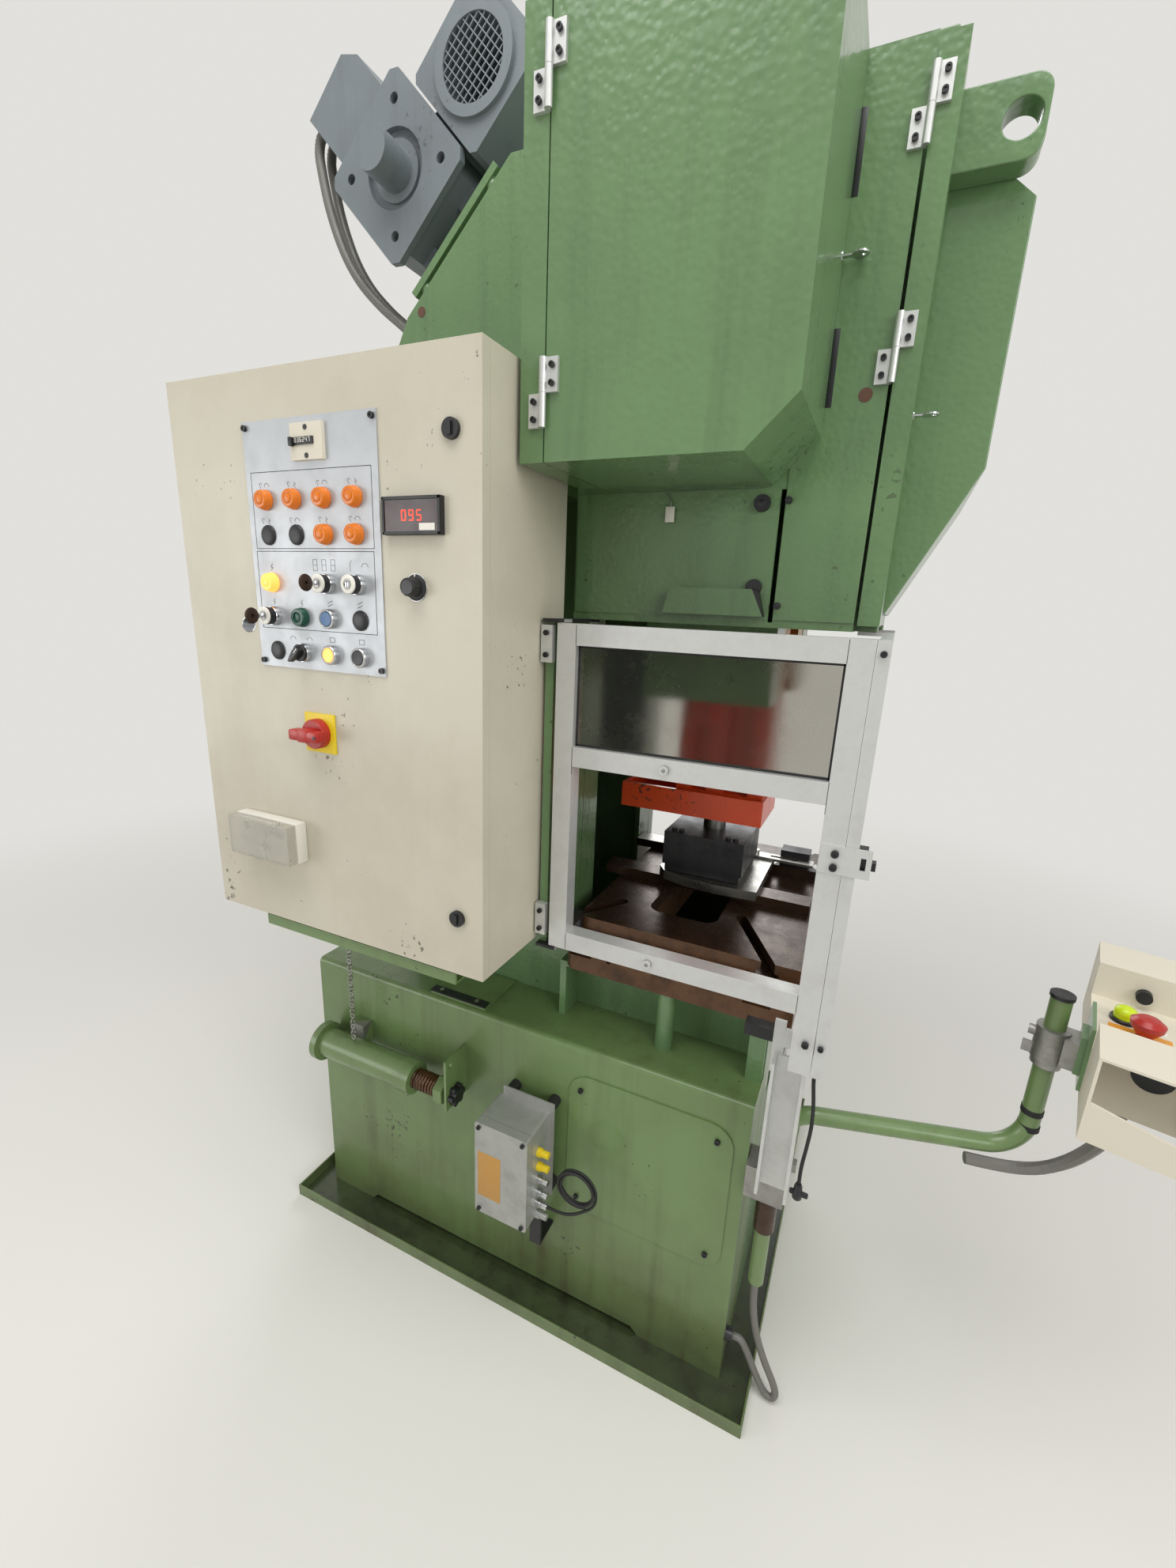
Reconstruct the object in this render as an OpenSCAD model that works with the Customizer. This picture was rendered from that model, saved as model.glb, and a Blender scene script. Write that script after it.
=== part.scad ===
// Mechanical stamping press of C-frame form: two thick side plates carry a crank-driven slide over a
// bolster, with a guarded throat, a wall cabinet, a motor on the sloping rear shoulder and a swing arm.
// Millimetres, +Z up, floor at z = 0, origin at the middle of the drip tray's underside.

/* [Tray and base] */
// Length of the drip tray, left to right
tray_l = 1150; // [1120:10:1300]
// Width of the drip tray, front to back
tray_w = 950; // [900:10:1100]
// Height of the tray's rim
tray_rim = 30; // [15:1:60]
// Thickness of the tray's sheet
tray_t = 4; // [3:1:8]
// Left end of the base
base_x0 = -526; // [-540:1:-480]
// Length of the base
base_l = 1040; // [1036:1:1060]
// Height of the base's top deck
base_top = 665; // [640:5:700]
// How far the base's front box stands before the side plate
base_proud = 142; // [130:1:160]
// Wall of the front box
base_wall = 8; // [5:1:12]
// Radius of the front box's top edge
base_edge_r = 12; // [10:1:40]
// Height of the foot cut under the front box
foot_cut_h = 16; // [8:1:30]

/* [Frame] */
// Width over the two side plates
frame_w = 510; // [500:2:540]
// Thickness of a side plate
plate_t = 40; // [30:1:45]
// Back edge of the column
column_x0 = -350; // [-370:1:-330]
// Back wall of the throat
throat_x = 73; // [60:1:76]
// Top of the throat
throat_top = 1486; // [1470:1:1490]
// Radius in the throat's corners
throat_r = 40; // [10:1:60]
// Front edge of the head
head_x1 = 589; // [588:1:590]
// Top of the frame
head_top = 2243; // [2235:1:2260]
// Height where the rear shoulder starts to slope
shoulder_z = 2029; // [2010:1:2040]
// Slope of the rear shoulder, which carries the motor
slope_angle = 43; // [40:1:45]
// Wall of the column, decks and other cross plates
wall_t = 12; // [8:1:14]
// Height of a lifting lug
lug_h = 92; // [80:1:100]
// Reach of a lifting lug before the head
lug_l = 104; // [95:1:120]
// Diameter of the lug's eye
lug_eye_d = 45; // [35:1:50]
// Height of the eye's centre
lug_z = 2126; // [2115:1:2135]

/* [Table] */
// Left end of the table
table_x0 = 102; // [96:1:106]
// Length of the table, back to front of the press
table_l = 450; // [440:1:460]
// Width of the table, across the press
table_w = 670; // [650:1:680]
// Height of the table's top
table_top = 872; // [866:1:880]
// Thickness of the table
table_t = 79; // [60:1:90]
// Length of the bolster
bolster_l = 440; // [430:1:445]
// Width of the bolster
bolster_w = 630; // [600:1:640]
// Thickness of the bolster
bolster_t = 33; // [28:1:40]
// Length of the drop hole, across the press
hole_w = 440; // [400:1:450]
// Breadth of the drop hole
hole_l = 143; // [120:1:150]
// Corner radius of the drop hole
hole_r = 28; // [15:1:40]
// Width of a tee slot's mouth
slot_w = 22; // [16:1:26]

/* [Slide and die] */
// Place of the slide's centre line
slide_x = 310; // [306:1:314]
// Stroke of the slide
stroke = 60; // [40:1:60]
// Size of the slide's guided part, back to front
slide_l = 210; // [200:1:216]
// Size of the slide's guided part, across
slide_w = 210; // [200:1:216]
// Lower end of the guided part
guide_z0 = 1345; // [1335:1:1350]
// Top of the slide at the bottom of its stroke
slide_top = 1720; // [1705:1:1722]
// Underside of the slide's foot
foot_z = 1078; // [1075:1:1082]
// Height of the slide's foot
foot_h = 55; // [45:1:65]
// Length of the slide's foot
foot_l = 313; // [300:1:320]
// Width of the slide's foot
foot_w = 170; // [160:1:180]
// Wall of the foot's rim
rim_t = 9; // [6:1:14]
// Running gap between slide and gibs
gib_gap = 0.1; // [0.05:0.05:0.3]
// Thickness of a gib
gib_t = 28; // [20:1:30]
// Diameter of the die shank
shank_d = 50; // [40:1:54]
// Length of the upper die
die_l = 176; // [150:1:190]
// Width of the upper die
die_w = 180; // [150:1:200]
// Height of the upper die's block
die_h = 76; // [60:1:80]
// Gap left between the closed dies
die_gap = 1; // [0.5:0.5:3]
// Thickness of the lower die plate
die_plate_t = 20; // [12:1:24]
// Thickness of the two parallels
bar_t = 20; // [15:1:24]
// Length of the two parallels
bar_l = 462; // [440:1:466]

/* [Crank drive] */
// Height of the crank's centre line
crank_z = 1900; // [1895:1:1910]
// Diameter of the crank's main journals
journal_d = 80; // [70:1:90]
// Diameter of the crankpin
pin_d = 100; // [90:1:104]
// Length of the crankpin
pin_l = 80; // [70:1:90]
// Wall of a bearing bush
bush_t = 20; // [10:1:24]
// Running clearance of round fits, on the radius
run_c = 0.05; // [0.02:0.01:0.09]
// Flywheel diameter
wheel_d = 520; // [480:2:530]
// Width of the flywheel's rim
wheel_w = 80; // [60:2:84]
// Diameter of the flywheel's seat
seat_d = 70; // [60:1:76]
// Diameter of the motor pulley
pulley_d = 110; // [90:1:120]
// Number of belts
belts = 3; // [2:1:4]

/* [Motor] */
// Side of the motor's square frame
motor_s = 210; // [190:1:216]
// Height of the motor's centre over the shoulder
motor_n = 211; // [205:1:215]
// Place of the motor's centre along the shoulder
motor_u = 145; // [140:1:150]
// Lower edge of the motor's bed plate, up the shoulder
bed_u = 35; // [30:1:40]
// Length of the bed plate
bed_l = 250; // [240:1:252]
// Side of the square end flange
flange_s = 225; // [216:1:230]
// Bolt circle of the end flange
flange_pcd = 212; // [200:1:220]
// Side of the blower's square housing
blower_s = 190; // [170:1:194]
// Number of wires each way in the blower's grille
mesh_n = 9; // [5:1:10]

/* [Covers] */
// Depth of the cover on the head's near side
cover_d = 90; // [80:1:92]
// Left end of the cover
cover_x0 = 99; // [98:1:106]
// Length of the cover
cover_l = 458; // [456:1:459]
// Top of the cover
cover_top = 2184; // [2175:1:2190]
// Sheet thickness of the covers
sheet_t = 3; // [2:0.5:4]
// Depth of the box before the cover
box_d = 214; // [190:1:218]
// Underside of the box
box_z0 = 1690; // [1680:1:1700]
// Left end of the box
box_x0 = 114; // [112:1:120]
// Width of the box's fixed strip
strip_w = 36; // [30:1:40]
// Right end of the lid
lid_x1 = 479; // [470:1:482]
// Cut corner of the lid
lid_cut = 59; // [40:1:70]
// Reach of the hood before the head
hood_d = 110; // [90:1:120]
// Top of the hood
hood_top = 2094; // [2085:1:2100]
// Height where the hood's foot starts to slope
hood_foot_z = 1726; // [1700:1:1740]

/* [Cabinet] */
// Width of the cabinet
cab_w = 600; // [580:5:600]
// Height of the cabinet
cab_h = 895; // [880:5:900]
// Depth of the cabinet's body
cab_d = 222; // [200:1:224]
// Right side of the cabinet
cab_x1 = 106; // [100:1:108]
// Underside of the cabinet
cab_z0 = 926; // [920:1:940]
// Thickness of the cabinet's door
cab_door_t = 18; // [14:1:22]
// Sheet of the cabinet
cab_t = 2; // [1.5:0.5:3]
// Diameter of a push button or lamp
lamp_d = 29; // [27:1:30]

/* [Guard] */
// Left edge of the guard door
guard_x0 = 137; // [136:1:140]
// Width of the guard door
guard_w = 459; // [455:1:459]
// Top of the guard door
guard_top = 1480; // [1470:1:1481]
// Underside of the lower rail
guard_z0 = 922; // [918:1:930]
// Underside of the long stile
stile_z0 = 822; // [815:1:830]
// Face of the guard, before the press's middle
guard_y = 477; // [475:1:480]
// Width of the profiles
prof_w = 33; // [28:1:36]
// Depth of the profiles
prof_t = 30; // [24:1:32]
// Height of the window
window_h = 163; // [150:1:170]
// Width of the side guard's bars seen from the front
bar_w = 17; // [14:1:18]

/* [Arm and station] */
// Diameter of the arm's tube
arm_d = 30; // [28:1:34]
// Distance from the arm's pivot to its post
arm_reach = 390; // [360:1:420]
// Height of the arm's level run
arm_z = 670; // [660:1:690]
// Top of the arm's post
post_top = 955; // [945:1:970]
// Angle of the arm at rest, from +X
arm_angle = 15.6; // [0:0.1:30]
// Length of the control station
station_l = 416; // [400:1:440]
// Width of the control station
station_w = 130; // [120:1:140]
// Height of the station's end hoods
station_h = 130; // [120:1:140]
// Length of an end hood
hood_l = 98; // [90:1:105]

/* [Hidden] */
$fn = 48;

// Paint and metal colours
green = [0.42, 0.54, 0.37];
cream = [0.76, 0.73, 0.65];
alu = [0.85, 0.85, 0.84];
steel = [0.62, 0.62, 0.64];
dark = [0.13, 0.13, 0.14];
orange = [0.78, 0.24, 0.08];
oiled = [0.35, 0.23, 0.14];
bronze = [0.72, 0.53, 0.28];
motor_grey = [0.43, 0.46, 0.48];

// Places worked out from the sizes above
eps = 0.01;
// Welded plates stay separate pieces: half of the gap in a weld
seam = 0.05;
base_x1 = base_x0 + base_l;
near_y = -frame_w / 2;
far_y = frame_w / 2;
inner_y = frame_w / 2 - plate_t;
front_y = near_y - base_proud;
floor_z = tray_t;
table_z0 = table_top - table_t;
bolster_top = table_top + bolster_t;
bolster_x0 = table_x0 + 14;
hole_x0 = bolster_x0 + 116;
cover_y = near_y - cover_d;
cover_x1 = cover_x0 + cover_l;
box_y = cover_y - box_d;
lid_x0 = box_x0 + strip_w + 2;
slope_x = column_x0 + 26;
slope_top_x = slope_x + (head_top - shoulder_z) / tan(slope_angle);
bar_top = bolster_top + bar_t;
die_plate_top = bar_top + die_plate_t;
die_bottom = die_plate_top + die_gap;
stripper_t = 16;
block_z0 = die_bottom + stripper_t;
shank_x = slide_x - 4;
foot_x0 = shank_x - 198;
throw_r = stroke / 2;
main_r = journal_d / 2;
bush_r = main_r + bush_t;
wheel_y0 = far_y + 20;
wheel_y1 = wheel_y0 + wheel_w;
groove_d = 10;
groove_pitch = wheel_w / (belts + 1);
motor_pos = [slope_x + motor_u * cos(slope_angle) - motor_n * sin(slope_angle),
    shoulder_z + motor_u * sin(slope_angle) + motor_n * cos(slope_angle)];
motor_y0 = near_y + 20;
motor_len = 400;
motor_shaft_r = 14;
cab_x0 = cab_x1 - cab_w;
cab_back = front_y;
cab_y0 = cab_back - cab_d;
cab_face = cab_y0 - cab_door_t;
guard_x1 = guard_x0 + guard_w;
guard_back = -guard_y + prof_t;
window_z1 = guard_top - prof_w + 3;
window_z0 = window_z1 - window_h;
mid_rail_z0 = window_z0 - prof_w;
side_x0 = guard_x1 + 1;
side_x1 = side_x0 + bar_w;
side_y1 = far_y;
pivot_x = guard_x0 + 5;
pivot_y = -guard_y + 7;
pivot_r = 4;
arm_pos = [base_x1 + 42, front_y + 12];
post_pos = [arm_pos[0] + arm_reach * cos(arm_angle), arm_pos[1] + arm_reach * sin(arm_angle)];
station_turn = -13;
station_gap = 45;
station_back = 56;
station_top = 960;
station_z0 = station_top - station_h;
platform_z = station_top - 60;
jbox_x0 = 5;
jbox_z0 = 297;
jbox_w = 120;
jbox_h = 220;
jbox_d = 90;
jbox_y1 = front_y - 30;
panel_x0 = cab_x0 + 167;
tube_z = 485;
tube_y = front_y - 48;

// Flat shapes in the x-z plane, given depth t from y0 on, and in the y-z plane, from x0 on
module xz(y0, t) { translate([0, y0 + t, 0]) rotate([90, 0, 0]) linear_extrude(t) children(); }
module yz(x0, t) { translate([x0, 0, 0]) rotate([90, 0, 90]) linear_extrude(t) children(); }
module block(p, s) { translate(p) cube(s); }
module rod_x(p, r, l) { translate(p) rotate([0, 90, 0]) cylinder(r = r, h = l); }
module rod_y(p, r, l) { translate([p[0], p[1] + l, p[2]]) rotate([90, 0, 0]) cylinder(r = r, h = l); }
module rod_z(p, r, l) { translate(p) cylinder(r = r, h = l); }
// Rectangle from its low corner with round corners
module rounded(w, h, r) {
    translate([r, 0]) square([w - 2 * r, h]);
    translate([0, r]) square([w, h - 2 * r]);
    for (x = [r, w - r], y = [r, h - r]) translate([x, y]) circle(r);
}
// Socket screw head seen from -y, standing on the face y
module screw_y(x, y, z, r = 4) { rod_y([x, y - r * 0.8, z], r, r * 0.8); }
module frame_2d(w, h, t) { difference() { square([w, h]); translate([t, t]) square([w - 2 * t, h - 2 * t]); } }
// Places on the sloping shoulder: x runs up the slope, z away from it
module on_slope() { translate([slope_x, 0, shoulder_z]) rotate([0, -slope_angle, 0]) children(); }

// Smooth curve through points, and a round tube swept along it; u0 is square to the curve's plane
function hermite(a, b, c, d, t) = b + 0.5 * t * (c - a + t * (2 * a - 5 * b + 4 * c - d + t * (3 * (b - c) + d - a)));
function curve(p, k) = let (n = len(p)) [for (i = [0 : n - 2], j = [0 : k - 1])
    hermite(p[max(i - 1, 0)], p[i], p[i + 1], p[min(i + 2, n - 1)], j / k), p[n - 1]];
function unit(v) = v / norm(v);
module tube_along(p, r, sides, k, u0) {
    c = curve(p, k);
    n = len(c);
    e = len(p) - 1;
    pts = [for (i = [0 : n - 1]) let (
        t = unit(i == 0 ? p[1] - p[0] : i == n - 1 ? p[e] - p[e - 1] : c[i + 1] - c[i - 1]),
        a = unit(cross(t, u0)), b = cross(t, a), m = r / cos(180 / sides))
        for (j = [0 : sides - 1]) c[i] + m * (cos(360 * j / sides) * a + sin(360 * j / sides) * b)];
    faces = [[for (j = [0 : sides - 1]) j], [for (j = [sides - 1 : -1 : 0]) (n - 1) * sides + j],
        for (i = [0 : n - 2], j = [0 : sides - 1]) let (q = i * sides, e = (j + 1) % sides)
        [q + j, q + sides + j, q + sides + e, q + e]];
    polyhedron(pts, faces);
}

// Two-leaf hinge on a face y, pin line at x, joint between the leaves at z
leaf_w = 21;
leaf_h = 41;
leaf_t = 5;
knuckle_r = 5;
hinge_pin_r = 3;
module hinge_leaf(x, y, z, moving) {
    side = moving ? 1 : -1;
    z0 = moving ? z + 0.2 : z - leaf_h;
    cy = y - knuckle_r - 1;
    difference() {
        union() {
            block([moving ? x : x - leaf_w, y - leaf_t, z0], [leaf_w, leaf_t, leaf_h - 0.2]);
            rod_z([x, cy, z0], knuckle_r, leaf_h - 0.2);
        }
        if (moving) rod_z([x, cy, z0 - 1], hinge_pin_r + run_c, leaf_h - 5);
        // The plate stops short of the other half's knuckle
        block([moving ? x - 30 : x + 0.5, cy + 0.5, z0 - 1], [29.5, 40, leaf_h + 2]);
    }
    if (!moving) rod_z([x, cy, z - 1], hinge_pin_r, leaf_h - 8);
    for (dz = [10, leaf_h - 10]) screw_y(x + side * 13, y - leaf_t, z0 + dz, 3.5);
}
lid_hinge_x = lid_x0 - 1;
lid_hinge_z = [1772, 2112];
door_x0 = cover_x1 + 5;
door_hinge_z = [1850, 2108];
door_z0 = throat_top + 9;

module drip_tray() {
    color(green) {
        block([-tray_l / 2, -tray_w / 2, 0], [tray_l, tray_w, tray_t]);
        difference() {
            block([-tray_l / 2, -tray_w / 2, tray_t], [tray_l, tray_w, tray_rim - tray_t]);
            block([-tray_l / 2 + tray_t, -tray_w / 2 + tray_t, 0], [tray_l - 2 * tray_t, tray_w - 2 * tray_t, tray_rim + 1]);
        }
    }
}

// Front box: a rounded-top shell open towards the side plate, with a foot cut and an access opening
access_x0 = 154;
access_w = 334;
access_z0 = 275;
access_h = 330;
access_r = 45;
module base_end_2d(w, h, r) {
    square([w, h - r]);
    translate([r, 0]) square([w - r, h]);
    translate([r, h - r]) circle(r);
}
module base_box() {
    h = base_top - floor_z;
    color(green) difference() {
        translate([0, front_y, floor_z]) yz(base_x0, base_l) base_end_2d(base_proud, h, base_edge_r);
        translate([0, front_y + base_wall, floor_z - 1])
            yz(base_x0 + base_wall, base_l - 2 * base_wall) base_end_2d(base_proud, h - base_wall + 1, base_edge_r - base_wall);
        xz(front_y - 1, base_proud + 2) polygon([[base_x0 + 130, floor_z - 1], [base_x0 + 145, floor_z + foot_cut_h],
            [base_x1 - 195, floor_z + foot_cut_h], [base_x1 - 177, floor_z - 1]]);
        translate([access_x0 + 20, 0, access_z0 + 20]) xz(front_y - 1, base_wall + 2)
            rounded(access_w - 40, access_h - 40, access_r - 20);
    }
    // Gland for the arm's cable
    color(dark) rod_x([base_x1, loop_end[1], loop_end[2]], 13, loop_end[0] - base_x1);
    // Bolted panel over the opening, and the hatch with its bolted strip on the top
    panel_y = front_y - 3 - seam;
    color(green) {
        translate([access_x0, 0, access_z0]) xz(panel_y, 3) rounded(access_w, access_h, access_r);
        for (x = [access_x0 + 26, access_x0 + access_w - 30], z = [access_z0 + 30, access_z0 + access_h - 34])
            screw_y(x, panel_y, z, 5);
        block([-202, front_y + base_edge_r, base_top + seam], [142, 135 - base_edge_r, 4]);
    }
    color(dark) {
        block([-204, front_y + base_edge_r, base_top + 4 + seam], [142, 22, 3]);
        for (x = [-180, -88]) rod_z([x, front_y + base_edge_r + 11, base_top + 7 + seam], 5, 3);
    }
}

// One C-shaped side plate with its lug, its throat and the shoulder for the motor
module c_plate_2d() {
    difference() {
        union() {
            polygon([[base_x0 + 6, floor_z], [base_x1, floor_z], [base_x1, table_z0], [throat_x, table_z0],
                [throat_x, throat_top], [head_x1, throat_top], [head_x1, lug_z + lug_h / 2],
                [head_x1 - 14, head_top], [slope_top_x, head_top], [slope_x, shoulder_z],
                [column_x0, shoulder_z - 48], [column_x0, base_top + 60], [column_x0 - 60, base_top],
                [base_x0 + 6, base_top]]);
            translate([head_x1 - 40, lug_z - lug_h / 2]) rounded(40 + lug_l, lug_h, 22);
            translate([throat_x, throat_top - throat_r]) difference() {
                square(throat_r);
                translate([throat_r, 0]) circle(throat_r);
            }
        }
        translate([head_x1 + lug_l - 29, lug_z]) circle(d = lug_eye_d);
        translate([slide_x, crank_z]) circle(bush_r);
    }
}
module side_plate_near() { color(green) xz(near_y, plate_t) c_plate_2d(); }
module side_plate_far() { color(green) xz(far_y - plate_t, plate_t) c_plate_2d(); }

// Bed plate of the motor, on four pads on the shoulder
module motor_bed() {
    color(green) on_slope() {
        block([bed_u, near_y + 2, 10], [bed_l, motor_len, 13]);
        for (x = [bed_u + 25, bed_u + bed_l - 25], y = [near_y + plate_t / 2, near_y + motor_len - 25]) rod_z([x, y, eps], 16, 11);
    }
}

// Cross plates and guide housings between the side plates, and the posts under the table's overhang
guide_in = slide_w / 2 + gib_gap + gib_t;
// Plates up the back, over the shoulder and down the head's front: corners outside and inside
wall_out = [[base_x0 + 6, floor_z], [base_x0 + 6, base_top], [column_x0 - 60, base_top], [column_x0, base_top + 60],
    [column_x0, shoulder_z - 48], [slope_x, shoulder_z], [slope_top_x, head_top], [head_x1 - 14, head_top],
    [head_x1, lug_z + lug_h / 2], [head_x1, throat_top + 10]];
wall_in = [[base_x0 + 6 + wall_t, floor_z], [base_x0 + 6 + wall_t, base_top - wall_t],
    [column_x0 - 60 + 0.414 * wall_t, base_top - wall_t], [column_x0 + wall_t, base_top + 60 - 0.414 * wall_t],
    [column_x0 + wall_t, shoulder_z - 48 - 0.25 * wall_t], [slope_x + 0.9 * wall_t, shoulder_z - 0.55 * wall_t],
    [slope_top_x + 0.39 * wall_t, head_top - wall_t], [head_x1 - 12 - wall_t, head_top - wall_t],
    [head_x1 - wall_t, lug_z + lug_h / 2 - 1], [head_x1 - wall_t, throat_top + 10]];
function nearer(a, b) = a + seam * unit(b - a);
module back_wall() {
    color(green) for (i = [0 : len(wall_out) - 2]) xz(-inner_y, 2 * inner_y)
        polygon([nearer(wall_out[i], wall_out[i + 1]), nearer(wall_out[i + 1], wall_out[i]),
            nearer(wall_in[i + 1], wall_in[i]), nearer(wall_in[i], wall_in[i + 1])]);
}
module frame_crossmembers() {
    w = 2 * inner_y;
    color(green) {
        block([base_x1 - wall_t, -inner_y, floor_z], [wall_t, w, base_top - 105 - floor_z]);
        block([table_x0, -inner_y, base_top], [wall_t, w, table_z0 - base_top]);
        for (s = [-1, 1]) {
            block([throat_x - wall_t, s > 0 ? inner_y - 70 : -inner_y, table_z0], [wall_t, 70, throat_top - table_z0]);
            block([slide_x - 120, s > 0 ? guide_in : -inner_y, guide_z0],
                [240, inner_y - guide_in, crank_z - main_r - 15 - guide_z0]);
        }
        // Posts that hold the table's front overhang
        block([table_x0 - 20, near_y - 60, base_top], [14, 60, table_z0 - base_top]);
        block([table_x0 - 6, near_y - 60, table_z0 - 12], [50, 60, 12]);
        rod_z([317, near_y - 60, base_top], 17.5, table_z0 - base_top);
        block([base_x1 - 32, near_y - 72, base_top], [30, 20, table_z0 - base_top]);
        block([base_x1 - 8, near_y - 52, base_top], [8, 52, table_z0 - base_top]);
    }
}

// Table with its drop hole, pockets and side steps, and the bolster with its slots
module drop_hole(z0, h) { translate([hole_x0, -hole_w / 2, z0]) linear_extrude(h) rounded(hole_l, hole_w, hole_r); }
module table() {
    y0 = -table_w / 2;
    color(oiled) difference() {
        translate([0, 0, table_z0]) linear_extrude(table_t) polygon([[table_x0 + 12, y0], [table_x0 + table_l, y0],
            [table_x0 + table_l, -y0], [table_x0 + 12, -y0], [table_x0, -y0 - 12], [table_x0, y0 + 12]]);
        drop_hole(table_z0 - 1, table_t + 2);
        for (x = [table_x0 + 8, table_x0 + table_l - 90], s = [0, 1])
            block([x, s == 0 ? y0 - 1 : -y0 - 17, table_top - 46], [50, 18, 24]);
        for (s = [0, 1]) rod_y([table_x0 + 95, s == 0 ? y0 - 1 : -y0 - 39, table_top - 40], 6, 40);
    }
}
// A slot from the drop hole's corner outwards, with a round inner end
module tee_slot(x, y, turn, l) {
    translate([x, y, 0]) rotate([0, 0, turn]) {
        block([0, -slot_w / 2, table_top + 8], [l, slot_w, bolster_t]);
        rod_z([0, 0, table_top + 8], slot_w / 2, bolster_t);
        block([0, -slot_w * 0.8, table_top + 4], [l, slot_w * 1.6, 10]);
    }
}
module bolster() {
    y0 = -bolster_w / 2;
    color(oiled) difference() {
        block([bolster_x0, y0, table_top], [bolster_l, bolster_w, bolster_t]);
        drop_hole(table_top - 1, bolster_t + 2);
        for (s = [-1, 1]) {
            tee_slot(415, s * (-y0 - 157), s * 62.5, 200);
            tee_slot(174, s * (-y0 - 105), s * 123, 130);
        }
    }
}

// Two parallels, the die plate with its bowed front, the clamp strap, its nut and the heel block
module lower_die_set() {
    bar_x0 = throat_x + 3;
    bar_y = [-78, 126];
    plate_x0 = shank_x - 100;
    plate_x1 = shank_x + 126;
    color(steel) {
        for (y = bar_y) block([bar_x0, y, bolster_top], [bar_l, 52, bar_t]);
        translate([0, 0, bar_top]) linear_extrude(die_plate_t) union() {
            polygon([[plate_x0, -70], [plate_x1, -110], [plate_x1, 128], [plate_x0, 128]]);
            polygon([[plate_x0, -69], [plate_x0 + 18, -95], [plate_x0 + 70, -112], [plate_x0 + 140, -118],
                [plate_x1, -110], [plate_x1, -60]]);
        }
        difference() {
            block([plate_x1 - 70, 92, die_plate_top], [160, 34, 6]);
            block([plate_x1 - 8, 104, die_plate_top - 1], [62, 10, 8]);
        }
        rod_z([plate_x1 - 44, 109, die_plate_top + 6], 9, 10);
    }
    color(dark) block([plate_x1 + 12, 126, bar_top], [66, 44, die_plate_t + 20]);
}

// Sheet cover on the head's near side, with its service panels and the box's fixed strip
module head_cover() {
    gap_x = lid_x1 - 46;
    lower_z0 = throat_top + 12;
    color(green) {
        difference() {
            block([cover_x0, cover_y, throat_top], [cover_l, cover_d, cover_top - throat_top]);
            block([cover_x0 + sheet_t, cover_y + sheet_t, throat_top + sheet_t],
                [cover_l - 2 * sheet_t, cover_d, cover_top - throat_top - 2 * sheet_t]);
            block([gap_x, cover_y - 1, throat_top + 8], [7, sheet_t + 2, box_z0 - throat_top - 14]);
            rod_y([slide_x, cover_y - 1, crank_z], 70, sheet_t + 2);
        }
        block([cover_x0 + 3, cover_y - 2, lower_z0], [gap_x - cover_x0 - 4, 2, box_z0 - lower_z0 - 4]);
        block([gap_x + 8, cover_y - 2, lower_z0], [cover_x1 - gap_x - 9, 2, 1768 - lower_z0]);
        // Raised lip over the lower panel's foot
        translate([gap_x - 165, 0, lower_z0 + 4]) xz(cover_y - 20, 18)
            polygon([[0, 0], [160, 0], [150, 36], [140, 40], [18, 40], [8, 34]]);
        // Fixed strip: a closed post the lid hangs on
        difference() {
            block([box_x0, box_y, box_z0], [strip_w, box_d, cover_top - box_z0]);
            block([box_x0 + sheet_t, box_y + sheet_t, box_z0 + sheet_t],
                [strip_w - 2 * sheet_t, box_d, cover_top - box_z0 - 2 * sheet_t]);
        }
    }
    color(dark) for (p = [[gap_x - 26, 1665, 12], [gap_x - 26, 1545, 12], [gap_x + 12, 1668, 5], [gap_x + 12, 1519, 5]])
        rod_y([p[0], cover_y - 8, p[1]], p[2], 6);
    color(alu) {
        for (z = lid_hinge_z) hinge_leaf(lid_hinge_x, box_y, z, false);
        for (z = door_hinge_z) hinge_leaf(door_x0 - 2.5, cover_y, z, false);
    }
}

// Outline of the lid seen from the front, with its cut corner
module lid_2d(inset) {
    polygon([[lid_x0, box_z0 + inset], [lid_x1 - lid_cut - inset * 0.4, box_z0 + inset],
        [lid_x1 - inset, box_z0 + lid_cut + inset * 0.4], [lid_x1 - inset, cover_top - inset],
        [lid_x0, cover_top - inset]]);
}
module head_lid() {
    color(green) difference() {
        xz(box_y, box_d - 2) lid_2d(0);
        translate([-eps, 0, 0]) xz(box_y + sheet_t, box_d) lid_2d(sheet_t);
        rod_x([lid_x1 - sheet_t - 1, cover_y - 12, 1961], lock_r + run_c, sheet_t + 2);
    }
    color(alu) for (z = lid_hinge_z) hinge_leaf(lid_hinge_x, box_y, z, true);
}
lock_r = 6;
// A key in its barrel, pointing along +x
module key_x(p) {
    rod_x([p[0] - 12, p[1], p[2]], lock_r, 13);
    difference() {
        union() {
            block([p[0] + 1, p[1] - 3.5, p[2] - 1], [12, 7, 2]);
            translate([p[0] + 22, p[1], p[2] - 1]) cylinder(r = 11, h = 2);
        }
        translate([p[0] + 27, p[1], p[2] - 2]) cylinder(r = 3, h = 4);
    }
}
module head_lid_key() { color(steel) key_x([lid_x1, cover_y - 12, 1961]); }
module side_door() {
    color(green) difference() {
        union() {
            block([door_x0, cover_y, door_z0], [head_x1 + 3 - door_x0, sheet_t, cover_top - 4 - door_z0]);
            block([head_x1, cover_y, door_z0], [sheet_t, cover_d - 2.5, cover_top - 4 - door_z0]);
        }
        rod_x([head_x1 - 1, near_y - 22, 1786], lock_r + run_c, sheet_t + 2);
    }
    color(alu) for (z = door_hinge_z) hinge_leaf(door_x0 - 2.5, cover_y, z, true);
}
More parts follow.
